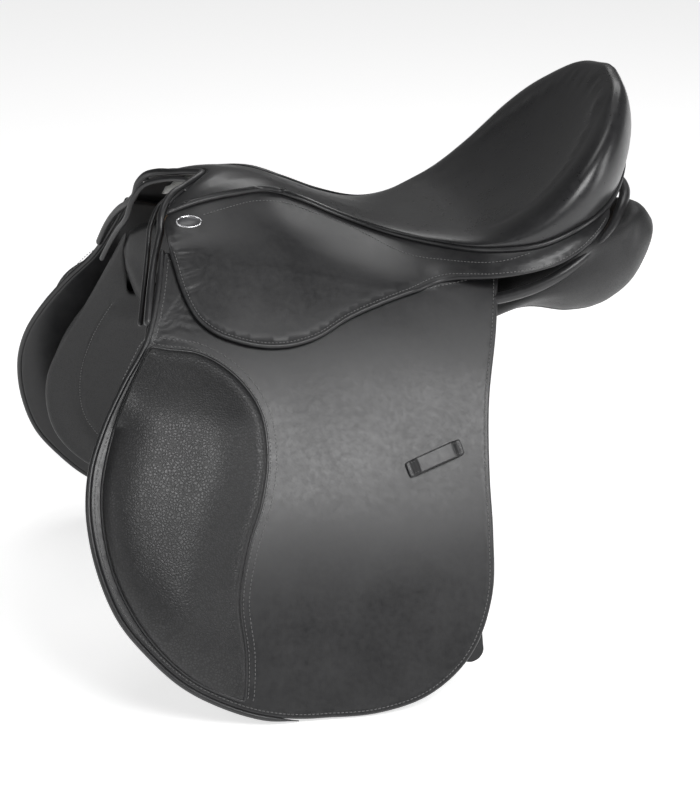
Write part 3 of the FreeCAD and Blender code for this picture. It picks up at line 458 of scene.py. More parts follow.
def new_material(name, roughness, **sockets):
    material = bpy.data.materials.new(name)
    material.use_nodes = True
    shader = material.node_tree.nodes["Principled BSDF"]
    shader.inputs["Roughness"].default_value = roughness
    for socket, value in sockets.items():
        shader.inputs[socket.replace("_", " ")].default_value = value
    return material, material.node_tree, shader


def place_coords(tree, stretch=(1, 1, 1)):
    """The object's own coordinates, stretched."""
    coords = tree.nodes.new("ShaderNodeTexCoord")
    mapping = tree.nodes.new("ShaderNodeMapping")
    mapping.inputs["Scale"].default_value = stretch
    tree.links.new(coords.outputs["Object"], mapping.inputs["Vector"])
    return mapping.outputs["Vector"]


def noise(tree, coords, size, detail=3, rough=0.55):
    """A noise whose features are about that many millimetres across."""
    node = tree.nodes.new("ShaderNodeTexNoise")
    node.inputs["Scale"].default_value = 1 / (size * MM)
    node.inputs["Detail"].default_value = detail
    node.inputs["Roughness"].default_value = rough
    tree.links.new(coords, node.inputs["Vector"])
    return node.outputs["Fac"]


def remap(tree, value, low, high, new_low, new_high):
    node = tree.nodes.new("ShaderNodeMapRange")
    for socket, number in zip(("From Min", "From Max", "To Min", "To Max"), (low, high, new_low, new_high)):
        node.inputs[socket].default_value = number
    tree.links.new(value, node.inputs["Value"])
    return node.outputs["Result"]


def math_node(tree, kind, first, second):
    node = tree.nodes.new("ShaderNodeMath")
    node.operation = kind
    for socket, value in zip(node.inputs, (first, second)):
        if isinstance(value, (int, float)):
            socket.default_value = value
        else:
            tree.links.new(value, socket)
    return node.outputs[0]


def mix_colour(tree, factor, first, second):
    node = tree.nodes.new("ShaderNodeMix")
    node.data_type = "RGBA"
    tree.links.new(factor, node.inputs["Factor"])
    for socket, value in ((node.inputs[6], first), (node.inputs[7], second)):
        if isinstance(value, tuple):
            socket.default_value = (*value, 1)
        else:
            tree.links.new(value, socket)
    return node.outputs[2]


def bump(tree, height, distance, before=None, strength=1.0):
    """A bump of that many millimetres, on top of another if there is one."""
    node = tree.nodes.new("ShaderNodeBump")
    node.inputs["Distance"].default_value = distance * MM
    node.inputs["Strength"].default_value = strength
    tree.links.new(height, node.inputs["Height"])
    if before is not None:
        tree.links.new(before, node.inputs["Normal"])
    return node.outputs["Normal"]


def pebbles(tree, coords, size):
    """The rounded grains of pebbled leather, 0 in the valleys and 1 on the grains."""
    warp = tree.nodes.new("ShaderNodeVectorMath")
    warp.operation = "MULTIPLY_ADD"
    shift = tree.nodes.new("ShaderNodeTexNoise")
    shift.inputs["Scale"].default_value = 1 / (3.2 * size * MM)
    tree.links.new(coords, shift.inputs["Vector"])
    tree.links.new(shift.outputs["Color"], warp.inputs[0])
    warp.inputs[1].default_value = (size * MM,) * 3
    tree.links.new(coords, warp.inputs[2])
    cells = tree.nodes.new("ShaderNodeTexVoronoi")
    cells.feature = "DISTANCE_TO_EDGE"
    cells.inputs["Scale"].default_value = 1 / (size * MM)
    tree.links.new(warp.outputs[0], cells.inputs["Vector"])
    node = tree.nodes.new("ShaderNodeMapRange")
    node.interpolation_type = "SMOOTHSTEP"
    node.inputs["From Max"].default_value = 0.28
    tree.links.new(cells.outputs["Distance"], node.inputs["Value"])
    return node.outputs["Result"]


def leather(name, dark, light, gloss, grain=0.9, grain_depth=0.035, pebble=0.0, pebble_size=1.3, coat=0.05):
    """Dressed black leather: mottled dye, fine pores, a satin finish that wears unevenly."""
    material, tree, shader = new_material(name, 0.45, Coat_Weight=coat, Coat_Roughness=0.32, Sheen_Weight=0.03,
                                          Sheen_Roughness=0.5)
    shader.inputs["Specular IOR Level"].default_value = 0.5
    coords = place_coords(tree)
    cloud = noise(tree, coords, 60, 4, 0.6)
    fleck = noise(tree, coords, 5, 5, 0.65)
    fine = noise(tree, coords, grain, 3, 0.6)
    tone = math_node(tree, "ADD", math_node(tree, "MULTIPLY", cloud, 0.6), math_node(tree, "MULTIPLY", fleck, 0.4))
    tone = remap(tree, tone, 0.34, 0.66, 0, 1)
    colour = mix_colour(tree, tone, dark, light)
    height = fine
    normal = bump(tree, height, grain_depth)
    rough = math_node(tree, "ADD", remap(tree, fleck, 0.3, 0.7, gloss - 0.04, gloss + 0.05),
                      remap(tree, cloud, 0.3, 0.7, -0.03, 0.04))
    if pebble:
        grains = pebbles(tree, coords, pebble_size)
        normal = bump(tree, grains, pebble, normal)
        # Painted shade: the valleys between the pebbled grains are painted darker than the grains.
        colour = mix_colour(tree, grains, tuple(0.45 * c for c in dark), colour)
        rough = math_node(tree, "ADD", rough, remap(tree, grains, 0, 1, 0.14, 0))
    tree.links.new(colour, shader.inputs["Base Color"])
    tree.links.new(rough, shader.inputs["Roughness"])
    tree.links.new(normal, shader.inputs["Normal"])
    return material


def thread(name, dark, light):
    """Waxed sewing thread with its twist."""
    material, tree, shader = new_material(name, 0.5, Sheen_Weight=0.2)
    coords = place_coords(tree)
    twist = noise(tree, coords, 0.35, 2)
    tree.links.new(mix_colour(tree, twist, dark, light), shader.inputs["Base Color"])
    tree.links.new(bump(tree, twist, 0.08), shader.inputs["Normal"])
    return material


def webbing(name, dark, light):
    """Woven strap: ribs both ways, about a millimetre apart."""
    material, tree, shader = new_material(name, 0.75, Sheen_Weight=0.3, Sheen_Roughness=0.4)
    coords = place_coords(tree)
    ribs = []
    for direction in ("X", "Y"):
        wave = tree.nodes.new("ShaderNodeTexWave")
        wave.bands_direction = direction
        wave.inputs["Scale"].default_value = 0.31 / (1.6 * MM)
        wave.inputs["Distortion"].default_value = 0.6
        tree.links.new(coords, wave.inputs["Vector"])
        ribs.append(wave.outputs["Fac"])
    weave = math_node(tree, "MULTIPLY", *ribs)
    fuzz = noise(tree, coords, 1.2, 4)
    tone = math_node(tree, "ADD", math_node(tree, "MULTIPLY", weave, 0.6), math_node(tree, "MULTIPLY", fuzz, 0.4))
    tree.links.new(mix_colour(tree, tone, dark, light), shader.inputs["Base Color"])
    tree.links.new(bump(tree, weave, 0.25, bump(tree, fuzz, 0.1)), shader.inputs["Normal"])
    return material


def wood(name, dark, light):
    """Laminated beech, its grain along the saddle."""
    material, tree, shader = new_material(name, 0.5, Coat_Weight=0.15, Coat_Roughness=0.3)
    coords = place_coords(tree, (0.12, 1, 1))
    rings = tree.nodes.new("ShaderNodeTexWave")
    rings.wave_type = "RINGS"
    rings.rings_direction = "X"
    rings.inputs["Scale"].default_value = 1 / (9 * MM)
    rings.inputs["Distortion"].default_value = 5
    rings.inputs["Detail"].default_value = 3
    tree.links.new(coords, rings.inputs["Vector"])
    fibre = noise(tree, coords, 0.8, 4)
    tone = math_node(tree, "ADD", math_node(tree, "MULTIPLY", rings.outputs["Fac"], 0.6),
                     math_node(tree, "MULTIPLY", fibre, 0.4))
    tree.links.new(mix_colour(tree, tone, dark, light), shader.inputs["Base Color"])
    tree.links.new(remap(tree, fibre, 0.3, 0.7, 0.4, 0.6), shader.inputs["Roughness"])
    tree.links.new(bump(tree, fibre, 0.08), shader.inputs["Normal"])
    return material


def metal(name, dark, light, gloss, scratch=(1, 12, 12)):
    """Metal with fine drawn scratches and faint staining."""
    material, tree, shader = new_material(name, gloss, Metallic=1.0)
    coords = place_coords(tree, scratch)
    lines = noise(tree, coords, 6, 4, 0.7)
    stain = noise(tree, place_coords(tree), 14, 4)
    tree.links.new(mix_colour(tree, stain, dark, light), shader.inputs["Base Color"])
    tree.links.new(remap(tree, lines, 0.3, 0.7, gloss - 0.07, gloss + 0.1), shader.inputs["Roughness"])
    tree.links.new(bump(tree, lines, 0.02), shader.inputs["Normal"])
    return material


def foam(name, dark, light):
    """Open-celled seat foam."""
    material, tree, shader = new_material(name, 0.9, Sheen_Weight=0.2)
    coords = place_coords(tree)
    cells = pebbles(tree, coords, 0.9)
    cloud = noise(tree, coords, 20, 3)
    tree.links.new(mix_colour(tree, cloud, dark, light), shader.inputs["Base Color"])
    tree.links.new(bump(tree, cells, 0.3), shader.inputs["Normal"])
    return material


BLACK = (0.008, 0.008, 0.009)
CHARCOAL = (0.020, 0.020, 0.021)
SEAT_LEATHER = leather("seat_leather_black", (0.010, 0.010, 0.011), (0.019, 0.019, 0.020), 0.30, 1.1, 0.02, coat=0.12)
SMOOTH_LEATHER = leather("smooth_leather_black", BLACK, CHARCOAL, 0.36, 1.0, 0.03)
GRAIN_LEATHER = leather("grain_leather_black", BLACK, CHARCOAL, 0.37, 0.6, 0.02, 0.11, 2.6)
ROLL_LEATHER = leather("rolled_edge_leather", BLACK, CHARCOAL, 0.36, 0.8, 0.02, coat=0.12)
PANEL_LEATHER = leather("panel_leather_black", (0.009, 0.009, 0.010), (0.018, 0.018, 0.019), 0.44, 0.9, 0.04, 0.03, 1.1)
GIRTH_LEATHER = leather("girth_leather_black", BLACK, CHARCOAL, 0.47, 0.9, 0.05)
THREAD = thread("thread_grey", (0.06, 0.06, 0.06), (0.16, 0.16, 0.16))
WEBBING = webbing("webbing_cream", (0.30, 0.27, 0.20), (0.62, 0.58, 0.48))
WOOD = wood("tree_beech", (0.22, 0.12, 0.06), (0.48, 0.31, 0.17))
STEEL = metal("tree_steel_grey", (0.20, 0.20, 0.21), (0.34, 0.34, 0.35), 0.42)
BAR_STEEL = metal("bar_steel_bright", (0.52, 0.52, 0.53), (0.70, 0.70, 0.71), 0.24)
STUD_METAL = metal("stud_silver", (0.62, 0.62, 0.64), (0.82, 0.82, 0.84), 0.18)
STUD_FIELD = leather("stud_dark_field", (0.02, 0.02, 0.022), (0.05, 0.05, 0.055), 0.3, 0.5, 0.01, coat=0.4)
SEAT_FOAM = foam("seat_foam_grey", (0.30, 0.30, 0.29), (0.46, 0.46, 0.44))


# ---------------------------------------------------------------- what each piece rides on

def on_root(slot, *nodes):
    """Rides on the tree; nodes with no side in their name get the piece's side."""
    def finish(piece, side=None):
        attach(piece, "root")
        if nodes:
            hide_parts(*[f"{node}_{side}" if f"{node}_{side}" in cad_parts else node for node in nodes])
    return finish


def on_flap(slot, *nodes):
    def finish(piece, side):
        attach(piece, f"flap_{side}")
        if nodes:
            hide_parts(*[f"{node}_{side}" for node in nodes])
    return finish


def across_bend(kind, slot, line, radius, reach, *nodes):
    """Meant to bend with the flap or skirt across its bending line: it works out that line's frame but uses none of it,
    and only bakes the piece's transform and hides the given nodes. Reach, the strip's width to each side of the line,
    is not used.
    """
    (x1, z1), (x0, z0) = line

    def finish(piece, side):
        middle = np.array([(x0 + x1) / 2, 0, (z0 + z1) / 2])
        rise = middle[2] - BARREL_Z
        out = math.sqrt(radius ** 2 - rise ** 2)
        along = np.array([x1 - x0, 0.0, z1 - z0])
        along /= np.linalg.norm(along)
        normal = np.array([0, out, rise]) / radius
        up = np.cross(along, normal)
        up *= np.sign(up[2])
        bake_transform(piece)
        if nodes:
            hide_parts(*[f"{node}_{side}" for node in nodes])
    return finish


# ---------------------------------------------------------------- flap

FLAP_FRONT = flap_points([(0.77, 0.0), (0.80, 0.10), (0.83, 0.17), (0.895, 0.257), (0.95, 0.343), (0.985, 0.42),
                          (1.0, 0.50), (0.998, 0.57), (0.982, 0.655), (0.95, 0.74), (0.893, 0.82), (0.82, 0.895),
                          (0.74, 0.945), (0.655, 0.98), (0.57, 0.997)])
FLAP_LOW = flap_points([(0.50, 1.0), (0.385, 1.0), (0.27, 0.97), (0.17, 0.89), (0.11, 0.76), (0.095, 0.62),
                        (0.09, 0.50), (0.07, 0.34), (0.03, 0.195)])
FLAP_TOP = flap_points([(0.0, 0.065), (0.13, 0.085), (0.25, 0.095), (0.52, 0.055)])
ROLL_REAR = flap_points([(0.828, 0.183), (0.80, 0.19), (0.72, 0.205), (0.645, 0.255), (0.60, 0.325), (0.593, 0.41),
                         (0.615, 0.51), (0.655, 0.605), (0.685, 0.72), (0.681, 0.85)])
ROLL_FRONT = flap_points([(0.69, 0.945), (0.80, 0.885), (0.905, 0.765), (0.965, 0.615), (0.97, 0.47), (0.93, 0.345)])


def shrink(line, inset, closed=False):
    """A line moved inwards along its own normals; closed outlines run counterclockwise."""
    if closed:
        return line + inset * inward(line)
    tangent = np.gradient(line, axis=0)
    tangent /= np.linalg.norm(tangent, axis=1)[:, None]
    return line + inset * np.stack([-tangent[:, 1], tangent[:, 0]], axis=1)


def seam(line, surface, lift=0.0, **how):
    """Stitches along a 2-D line on a surface."""
    points, normals = surface(line)
    return stitches(points + normals * lift, normals, **how)


def fan(root, spread, length, count, pitch):
    """Short crease lines side by side that fan out from the left edge of a corner."""
    lines = []
    for k in range(count):
        start = np.array(root[0]) + (np.array(root[1]) - np.array(root[0])) * k / (count - 1)
        angle = math.radians(spread[0] + (spread[1] - spread[0]) * k / (count - 1) + 7 * math.sin(5.1 * k))
        reach = length * (0.65 + 0.35 * math.sin(2.3 * k + 1))
        bend = 0.12 * math.sin(3.7 * k)
        steps = np.linspace(0, 1, 7)[:, None]
        ahead = np.array([math.cos(angle), math.sin(angle)])
        aside = np.array([-ahead[1], ahead[0]])
        lines.append(start + ahead * steps * reach + aside * bend * reach * steps ** 2)
    return lines


def creases(flat, lines, width, depth):
    """How much a set of crease lines lowers the surface, fading to each line's end."""
    sunk = np.zeros(len(flat))
    for line in lines:
        near = distance(flat, line)
        along = np.linalg.norm(flat - line[0], axis=1) / np.linalg.norm(line[-1] - line[0])
        sunk = np.maximum(sunk, np.exp(-(near / width) ** 2) * np.clip(1.15 - along, 0, 1))
    return depth * sunk


def patch(corner, other, step):
    """Extra grid points in a rectangle, where fine creases need a finer mesh."""
    xs = np.arange(min(corner[0], other[0]), max(corner[0], other[0]), step)
    zs = np.arange(min(corner[1], other[1]), max(corner[1], other[1]), step)
    return np.array([(x, z) for x in xs for z in zs])


def make_flaps():
    outline = counterclockwise(soften(joined([FLAP_FRONT, FLAP_LOW, FLAP_TOP], 2.5), 3))
    half = FLAP_THICK / 2
    place = barrel(FLAP_RADIUS - half)
    wrinkles = fan(((186, 74), (226, 36)), (-150, -178), 40, 17, 2)

    def front(flat, d):
        bead = 0.5 * np.exp(-((d - 2.0) / 1.1) ** 2)
        groove = 0.45 * np.exp(-((d - STITCH_INSET) / 0.7) ** 2)
        ripple = 0.25 * np.sin(flat[:, 0] / 31 + 1.3) * np.sin(flat[:, 1] / 43)
        return half * dome(d, half) + bead - groove + ripple * ease(d, 4, 40) - creases(flat, wrinkles, 0.9, 0.45)

    def back(flat, d):
        return half * dome(d, half)

    shape = slab(outline, place, front, back, 4, extra=patch((140, 25), (230, 80), 1.5))
    pair("flap_leather", shape, SMOOTH_LEATHER,
         across_bend("flap", "flap_leather", FLAP_BEND, FLAP_RADIUS, 9, "flap", "flap_upper"))
    surface = barrel(FLAP_RADIUS)
    row = shrink(outline, STITCH_INSET, True)
    row = np.concatenate([row, row[:1]])
    pair("flap_edge_stitches", seam(row, surface, 0.1), THREAD,
         across_bend("flap", "flap_leather", FLAP_BEND, FLAP_RADIUS, 9))
    edge = path(FLAP_FRONT, 3)
    points, normals = surface(shrink(edge, -1.0 if counter_front(edge) else 1.0))
    thick = 2.7 * (0.2 + 0.8 * ease(np.arange(len(points))[::-1], 0, 10))
    pair("flap_front_piping", tube(points - normals * 1.2, thick), ROLL_LEATHER,
         across_bend("flap", "flap_leather", FLAP_BEND, FLAP_RADIUS, 9))


def counter_front(edge):
    """Whether an open line's left normal points to the rear."""
    return shrink(edge, 1.0)[len(edge) // 2][0] < edge[len(edge) // 2][0]


def make_knee_rolls():
    outline = counterclockwise(soften(joined([ROLL_REAR, ROLL_FRONT], 2.5), 3))
    front_line = path(ROLL_FRONT, 3)
    rear_line = path(ROLL_REAR + [ROLL_FRONT[0]], 3)
    surface = barrel(FLAP_RADIUS + 0.5)
    tall = 17.0

    def front(flat, d):
        near_front = distance(flat, front_line)
        near_rear = distance(flat, rear_line)
        rise = dome(near_front, 42) ** 0.8 * (0.22 * dome(near_rear, 5) + 0.78 * ease(near_rear, 3, 58) ** 0.7)
        lip = 0.9 * np.exp(-((near_rear - 4.5) / 2.2) ** 2) * ease(d, 0, 3)
        taper = 0.55 + 0.45 * ease(flat[:, 1], -262, -170)
        sag = 0.5 * np.sin(flat[:, 0] / 17 + flat[:, 1] / 29) * ease(d, 12, 40)
        return 0.8 * dome(d, 1.5) + (tall * taper) * rise + lip + sag

    def back(flat, d):
        return np.zeros(len(flat)) + 0.05 * ease(d, 0, 2)

    shape = slab(outline, surface, front, back, 3.5, rings=(0.4, 1.1, 2.2, 4, 6.5, 9.5))
    made = pair("knee_roll_pad", shape, GRAIN_LEATHER, on_flap("grain_leather", "knee_roll"))
    piping = np.concatenate([outline, outline[:1]])
    points, normals = barrel(FLAP_RADIUS)(piping)
    pair("knee_roll_piping", tube(points[:-1] + normals[:-1] * 1.1, 1.5, 10), ROLL_LEATHER, on_flap("grain_leather"))
    band = shrink(outline, -4.2, True)
    rear = distance(band, rear_line) < distance(band, front_line)
    rows = []
    for inset in (-3.0, -8.2):
        row = shrink(outline, inset, True)
        kept = row[rear]
        order = np.argmax(np.linalg.norm(np.diff(np.concatenate([kept, kept[:1]]), axis=0), axis=1)) + 1
        kept = np.roll(kept, -order, 0)
        rows.append(seam(kept, barrel(FLAP_RADIUS), 0.15))
    pair("knee_roll_stitches", merge(rows), THREAD, on_flap("grain_leather"))


def make_keepers():
    """A sewn-down strip that the surcingle passes under."""
    slope = math.radians(17)
    along = np.array([math.cos(slope), -math.sin(slope)])
    aside = np.array([math.sin(slope), math.cos(slope)])
    centre = np.array([-16, -67])
    corners = [centre + along * 27 * u + aside * 6.5 * v for u, v in ((-1, -1), (1, -1), (1, 1), (-1, 1))]
    outline = soften(joined([[tuple(corner)] for corner in corners], 1.2), 5)
    base = barrel(FLAP_RADIUS)

    def lift(flat):
        u = np.abs((flat - centre) @ along)
        return 1.6 + 4.6 * (1 - ease(u, 17, 23))

    def place(flat):
        points, normals = base(flat)
        return points + normals * lift(flat)[:, None], normals

    def front(flat, d):
        return 1.1 * dome(d, 1.1) - 0.3 * np.exp(-((d - 2.2) / 0.5) ** 2)

    shape = slab(outline, place, front, lambda flat, d: 1.1 * dome(d, 1.1), 2, rings=(0.3, 0.8, 1.4))
    pair("keeper_strip", shape, SMOOTH_LEATHER, on_flap("flap_leather", "keeper"))
    row = shrink(counterclockwise(outline), 2.2, True)
    rows = []
    for side in (-1, 1):
        end = row[((row - centre) @ along) * side > 18]
        end = np.roll(end, -(np.argmax(np.linalg.norm(np.diff(np.concatenate([end, end[:1]]), axis=0), axis=1)) + 1), 0)
        points, normals = place(end)
        rows.append(stitches(points + normals * 1.0, normals, 1.8, 2.7, 0.35))
    pair("keeper_stitches", merge(rows), THREAD, on_flap("flap_leather"))


# ---------------------------------------------------------------- skirt

SKIRT_LOBE = [(198, 107), (196, 97), (193, 81), (189, 68), (181, 53), (169, 43), (147, 34), (124, 29),
              (101, 28.5), (77, 33), (46, 46), (5, 58), (-30, 66), (-48, 70), (-90, 74), (-118, 78), (-151, 86),
              (-172, 96), (-189, 107), (-203, 115)]


def skirt_top_line():
    x = np.linspace(-206, 193, 60)
    return [(a, b) for a, b in zip(x, seat_row(x)[:, 1] - 3)]


def make_skirts():
    top = skirt_top_line()
    outline = counterclockwise(soften(joined([top, SKIRT_LOBE], 2.5), 2))
    half = SKIRT_THICK / 2
    wrinkles = fan(((196, 118), (192, 74)), (186, 172), 26, 9, 4)
    puckers = [path([(-150 - 5 * k, 118 + 1.5 * k), (-172 - 4 * k, 134 + 2 * k)], 4) for k in range(5)]
    second = path([(161, 127), (135, 131), (109, 133), (84, 129), (53, 117), (23, 105),
                   (-27, 85), (-59, 84), (-97, 88), (-122, 95)], 3)
    lobe = path(SKIRT_LOBE, 3)

    def front(flat, d):
        rim = distance(flat, lobe)
        bead = 0.55 * np.exp(-((rim - 1.7) / 0.9) ** 2)
        groove = 0.4 * np.exp(-((rim - 3.8) / 0.6) ** 2) + 0.35 * dent(flat, second, 0.7)
        puff = 1.6 * ease(distance(flat, second), 0, 14) * ease(flat[:, 1], 96, 112) * ease(d, 0, 10)
        wave = 0.35 * np.sin(flat[:, 0] / 27) * np.sin(flat[:, 1] / 19 + 0.7) * ease(d, 3, 20)
        return (half * dome(d, half) + bead - groove + puff * 0.4 + wave
                - creases(flat, wrinkles, 1.3, 0.85) - creases(flat, puckers, 1.5, 0.5))

    def back(flat, d):
        return half * dome(d, half)

    shape = slab(outline, skirt_place, front, back, 3.6, extra=patch((160, 66), (197, 124), 1.6))
    bends = across_bend("skirt", "skirt_leather", SKIRT_BEND, SKIRT_RADIUS, 7, "skirt", "skirt_upper")
    pair("skirt_leather", shape, SMOOTH_LEATHER, bends)

    def surface(flat):
        points, normals = skirt_place(flat)
        return points + normals * half, normals

    plain = across_bend("skirt", "skirt_leather", SKIRT_BEND, SKIRT_RADIUS, 7)
    inset = -3.8 if counter_low(lobe) else 3.8
    rim_row = shrink(lobe, inset)[1:-1]
    pair("skirt_edge_stitches", merge([seam(rim_row, surface, 0.05, length=2.2, pitch=3.3),
                                       seam(second, surface, 0.0, length=2.2, pitch=3.3)]), THREAD, plain)


def counter_low(line):
    """Whether an open line's left normal points down."""
    middle = len(line) // 2
    return shrink(line, 1.0)[middle][1] < line[middle][1]


# ---------------------------------------------------------------- seat

NOTCH = [(143, 0, 148), (144.5, 6, 148), (149, 13, 147), (158, 24, 144.5), (172, 39.5, 141.5), (184, 52, 136.5)]
TIP = [(190, 58.5, 131.5), (191.5, 61, 130.5), (190, 62, 130.5)]


def seat_edge(step):
    """The seat's edge as (x, y, z), closed."""
    welt = [(x, half, z) for x, half, z, _, _ in SEAT[::-1] if -245 < x < 185]
    left = NOTCH + TIP + welt
    rear = (-244, 0, 155.5)
    closed = left + [rear] + [(x, -y, z) for x, y, z in left[:0:-1]]
    return path(closed, step, closed=True)


def seat_roll_widths(plan, normals, most):
    """How wide the rolled edge can be at each point of the outline, from the room there is."""
    gap = plan[None] - plan[:, None]
    ahead = (gap * normals[:, None]).sum(2)
    squared = (gap ** 2).sum(2)
    ball = np.where(ahead > 1e-6, squared / np.maximum(2 * ahead, 1e-6), 1e6).min(1)
    wide = np.minimum(most, 0.8 * ball)
    for _ in range(40):
        wide = np.minimum(wide, 0.5 * wide + 0.25 * (np.roll(wide, 1) + np.roll(wide, -1)))
    return wide


def make_seat():
    edge = seat_edge(3)
    if (edge[:, 0] * np.roll(edge[:, 1], -1) - edge[:, 1] * np.roll(edge[:, 0], -1)).sum() < 0:
        edge = edge[::-1]
    plan, welt = edge[:, :2], edge[:, 2]
    normals = inward(plan)
    cantle = ease(-plan[:, 0], 120, 200)
    most = 30 + 8 * cantle - 14 * ease(-plan[:, 0], 200, 240) - 12 * ease(plan[:, 0], 60, 130)
    wide = seat_roll_widths(plan, normals, most)
    low = np.radians(24 + 20 * cantle)
    rings = []
    for step in np.linspace(0, 1, 15):
        turn = (math.pi / 2 + low) * step - low
        spot = plan + normals * (wide * (np.cos(low) - np.cos(turn)))[:, None]
        share = (np.sin(turn) + np.sin(low)) / (1 + np.sin(low))
        height = welt + (seat_top(spot[:, 0], spot[:, 1]) - welt) * share
        rings.append(np.concatenate([spot, height[:, None]], axis=1))
    inner = rings[-1][:, :2]
    flat, triangles = interior(inner, (), 5)
    top = np.concatenate([flat, seat_top(flat[:, 0], flat[:, 1])[:, None]], axis=1)
    number = len(plan)
    start = number * (len(rings) - 1)
    points = np.concatenate(rings[:-1] + [top])
    faces = (triangles + start).tolist()
    for k in range(len(rings) - 1):
        for i in range(number):
            j = (i + 1) % number
            faces.append([k * number + i, k * number + j, (k + 1) * number + j, (k + 1) * number + i])
    piece = add_mesh("seat_cover", points, faces, SEAT_LEATHER)
    relax(piece, 12, fixed=start + number)
    thicken(piece, 2.4)
    on_root("seat_leather", "seat_leather")(piece)


def relax(piece, passes, fixed):
    """Even out the mesh's heights, leaving its first points where they are."""
    mesh = piece.data
    count = len(mesh.vertices)
    co = np.empty(count * 3)
    mesh.vertices.foreach_get("co", co)
    co = co.reshape(-1, 3)
    ends = np.empty(len(mesh.edges) * 2, int)
    mesh.edges.foreach_get("vertices", ends)
    a, b = ends.reshape(-1, 2).T
    links = np.bincount(a, minlength=count) + np.bincount(b, minlength=count)
    for _ in range(passes):
        total = np.zeros(count)
        np.add.at(total, a, co[b, 2])
        np.add.at(total, b, co[a, 2])
        moved = 0.5 * co[:, 2] + 0.5 * total / np.maximum(links, 1)
        co[fixed:, 2] = moved[fixed:]
    mesh.vertices.foreach_set("co", co.ravel())
    mesh.update()


def thicken(piece, thickness):
    """Give a one-sided surface its leather's thickness, inwards."""
    solid = piece.modifiers.new("thickness", "SOLIDIFY")
    solid.thickness = thickness * MM
    solid.offset = -1
    apply_modifiers(piece)


def apply_modifiers(piece):
    view = bpy.context.evaluated_depsgraph_get()
    mesh = bpy.data.meshes.new_from_object(piece.evaluated_get(view))
    piece.modifiers.clear()
    old = piece.data
    piece.data = mesh
    mesh.name = piece.name
    bpy.data.meshes.remove(old)


def make_seat_foam():
    edge = path([tuple(p) for p in seat_edge(14)], 6, closed=True)
    outline = counterclockwise(edge[:, :2])
    outline = shrink(soften(outline, 3), 5, True)
    clear = distance(outline, counterclockwise(edge[:, :2]), True) > 4.6
    outline = outline[clear & (outline[:, 0] < 186)]

    def place(flat):
        normals = np.zeros((len(flat), 3))
        normals[:, 2] = 1
        edge_gap = distance(flat, outline, True)
        height = seat_top(flat[:, 0], flat[:, 1]) - 6 - 14 * (1 - dome(edge_gap, 24))
        return np.concatenate([flat, height[:, None]], axis=1), normals

    def front(flat, d):
        return 1.5 * dome(d, 6)

    def back(flat, d):
        return 12 * dome(d, 10)

    shape = slab(outline, place, front, back, 8, rings=(1.5, 4, 8))
    piece = add_mesh("seat_foam_pad", *shape, SEAT_FOAM)
    on_root("foam", "seat_foam")(piece)


def make_welts():
    """Corded seams under the seat's edge: a main cord and a thinner one below it."""
    edge = [(x, half, z) for x, half, z, _, _ in SEAT[::-1] if -245 < x < 185]
    line = path([(191, 61.5, 130.5)] + edge + [(-244, 0, 155.5)], 3)
    out = np.zeros_like(line)
    tangents = np.gradient(line, axis=0)
    out[:, 0], out[:, 1] = tangents[:, 1], -tangents[:, 0]
    out *= np.sign(out[:, 1:2])
    out /= np.linalg.norm(out, axis=1)[:, None]
    for name, radius, drop, proud in (("seat_welt_cord", WELT_RADIUS, 1.6, 0.6), ("seat_welt_seam", 1.3, 5.0, 0.9)):
        shape = tube(line + out * proud - (0, 0, drop), radius, 10)
        nodes = ("seat_welt",) if name == "seat_welt_cord" else ()
        pair(name, shape, ROLL_LEATHER, on_root("welt_leather", *nodes))


def make_pommel_binding():
    """Rolled edges that follow the cut-back pommel and run down in front of the flap on both sides."""
    rolls = (
        ("pommel_binding_roll", 3.4, [(224, 139, 51), (216, 114, 80), (210, 96, 94), (204, 79, 104), (200, 70.5, 112),
                                      (197.5, 62.5, 126), (192, 54, 135), (183.5, 42, 140.5), (171, 28, 143),
                                      (156.5, 13, 146.5), (148.5, 0, 148)]),
        ("pommel_inner_roll", 2.4, [(226, 111, 42), (221.5, 98, 58), (215.5, 80, 77), (209.5, 60, 95), (205.5, 50, 113),
                                    (196, 41, 129), (181, 30, 136), (166, 15, 139.5), (160, 0, 140.5)]),
    )
    for name, radius, left in rolls:
        points = path(left + [(x, -y, z) for x, y, z in left[-2::-1]], 3)
        piece = add_mesh(name, *tube(points, radius), ROLL_LEATHER)
        nodes = ("pommel_binding",) if name == "pommel_binding_roll" else ()
        on_root("seat_leather", *nodes)(piece)


def make_cantle_facing():
    """The leather that closes the back of the saddle under the seat's rolled edge."""
    back = [(-206, 106, 131, 119), (-222, 86, 138, 120), (-235, 57, 150, 121), (-241, 28, 154, 122),
            (-243, 0, 155, 122)]
    table = np.array(back + [(x, -y, top, low) for x, y, top, low in back[-2::-1]], float)
    shares = np.linspace(0, len(table) - 1, 97)
    rows = spline(np.arange(len(table)), table, shares)
    lines = []
    for down in np.linspace(0, 1, 13):
        x = rows[:, 0] + 10 * down - 2.5 * math.sin(math.pi * down)
        y = rows[:, 1] * (1 - 0.03 * down)
        z = rows[:, 2] + (rows[:, 3] - rows[:, 2]) * down
        lines.append(np.stack([x, y, z], axis=1))
    points = np.concatenate(lines)
    wide = len(rows)
    faces = [[k * wide + i, k * wide + i + 1, (k + 1) * wide + i + 1, (k + 1) * wide + i]
             for k in range(len(lines) - 1) for i in range(wide - 1)]
    piece = add_mesh("cantle_facing_leather", points, faces, SMOOTH_LEATHER)
    face_away(piece, (0.1, 0, 0.15))
    thicken(piece, 2.2)
    on_root("skirt_leather", "cantle_facing")(piece)


def face_away(piece, centre):
    """Turn an open surface so that its faces look away from a point, in metres."""
    mesh = piece.data
    inward_facing = sum((Vector(centre) - face.center).dot(face.normal) * face.area for face in mesh.polygons)
    if inward_facing > 0:
        mesh.flip_normals()


# ---------------------------------------------------------------- panel

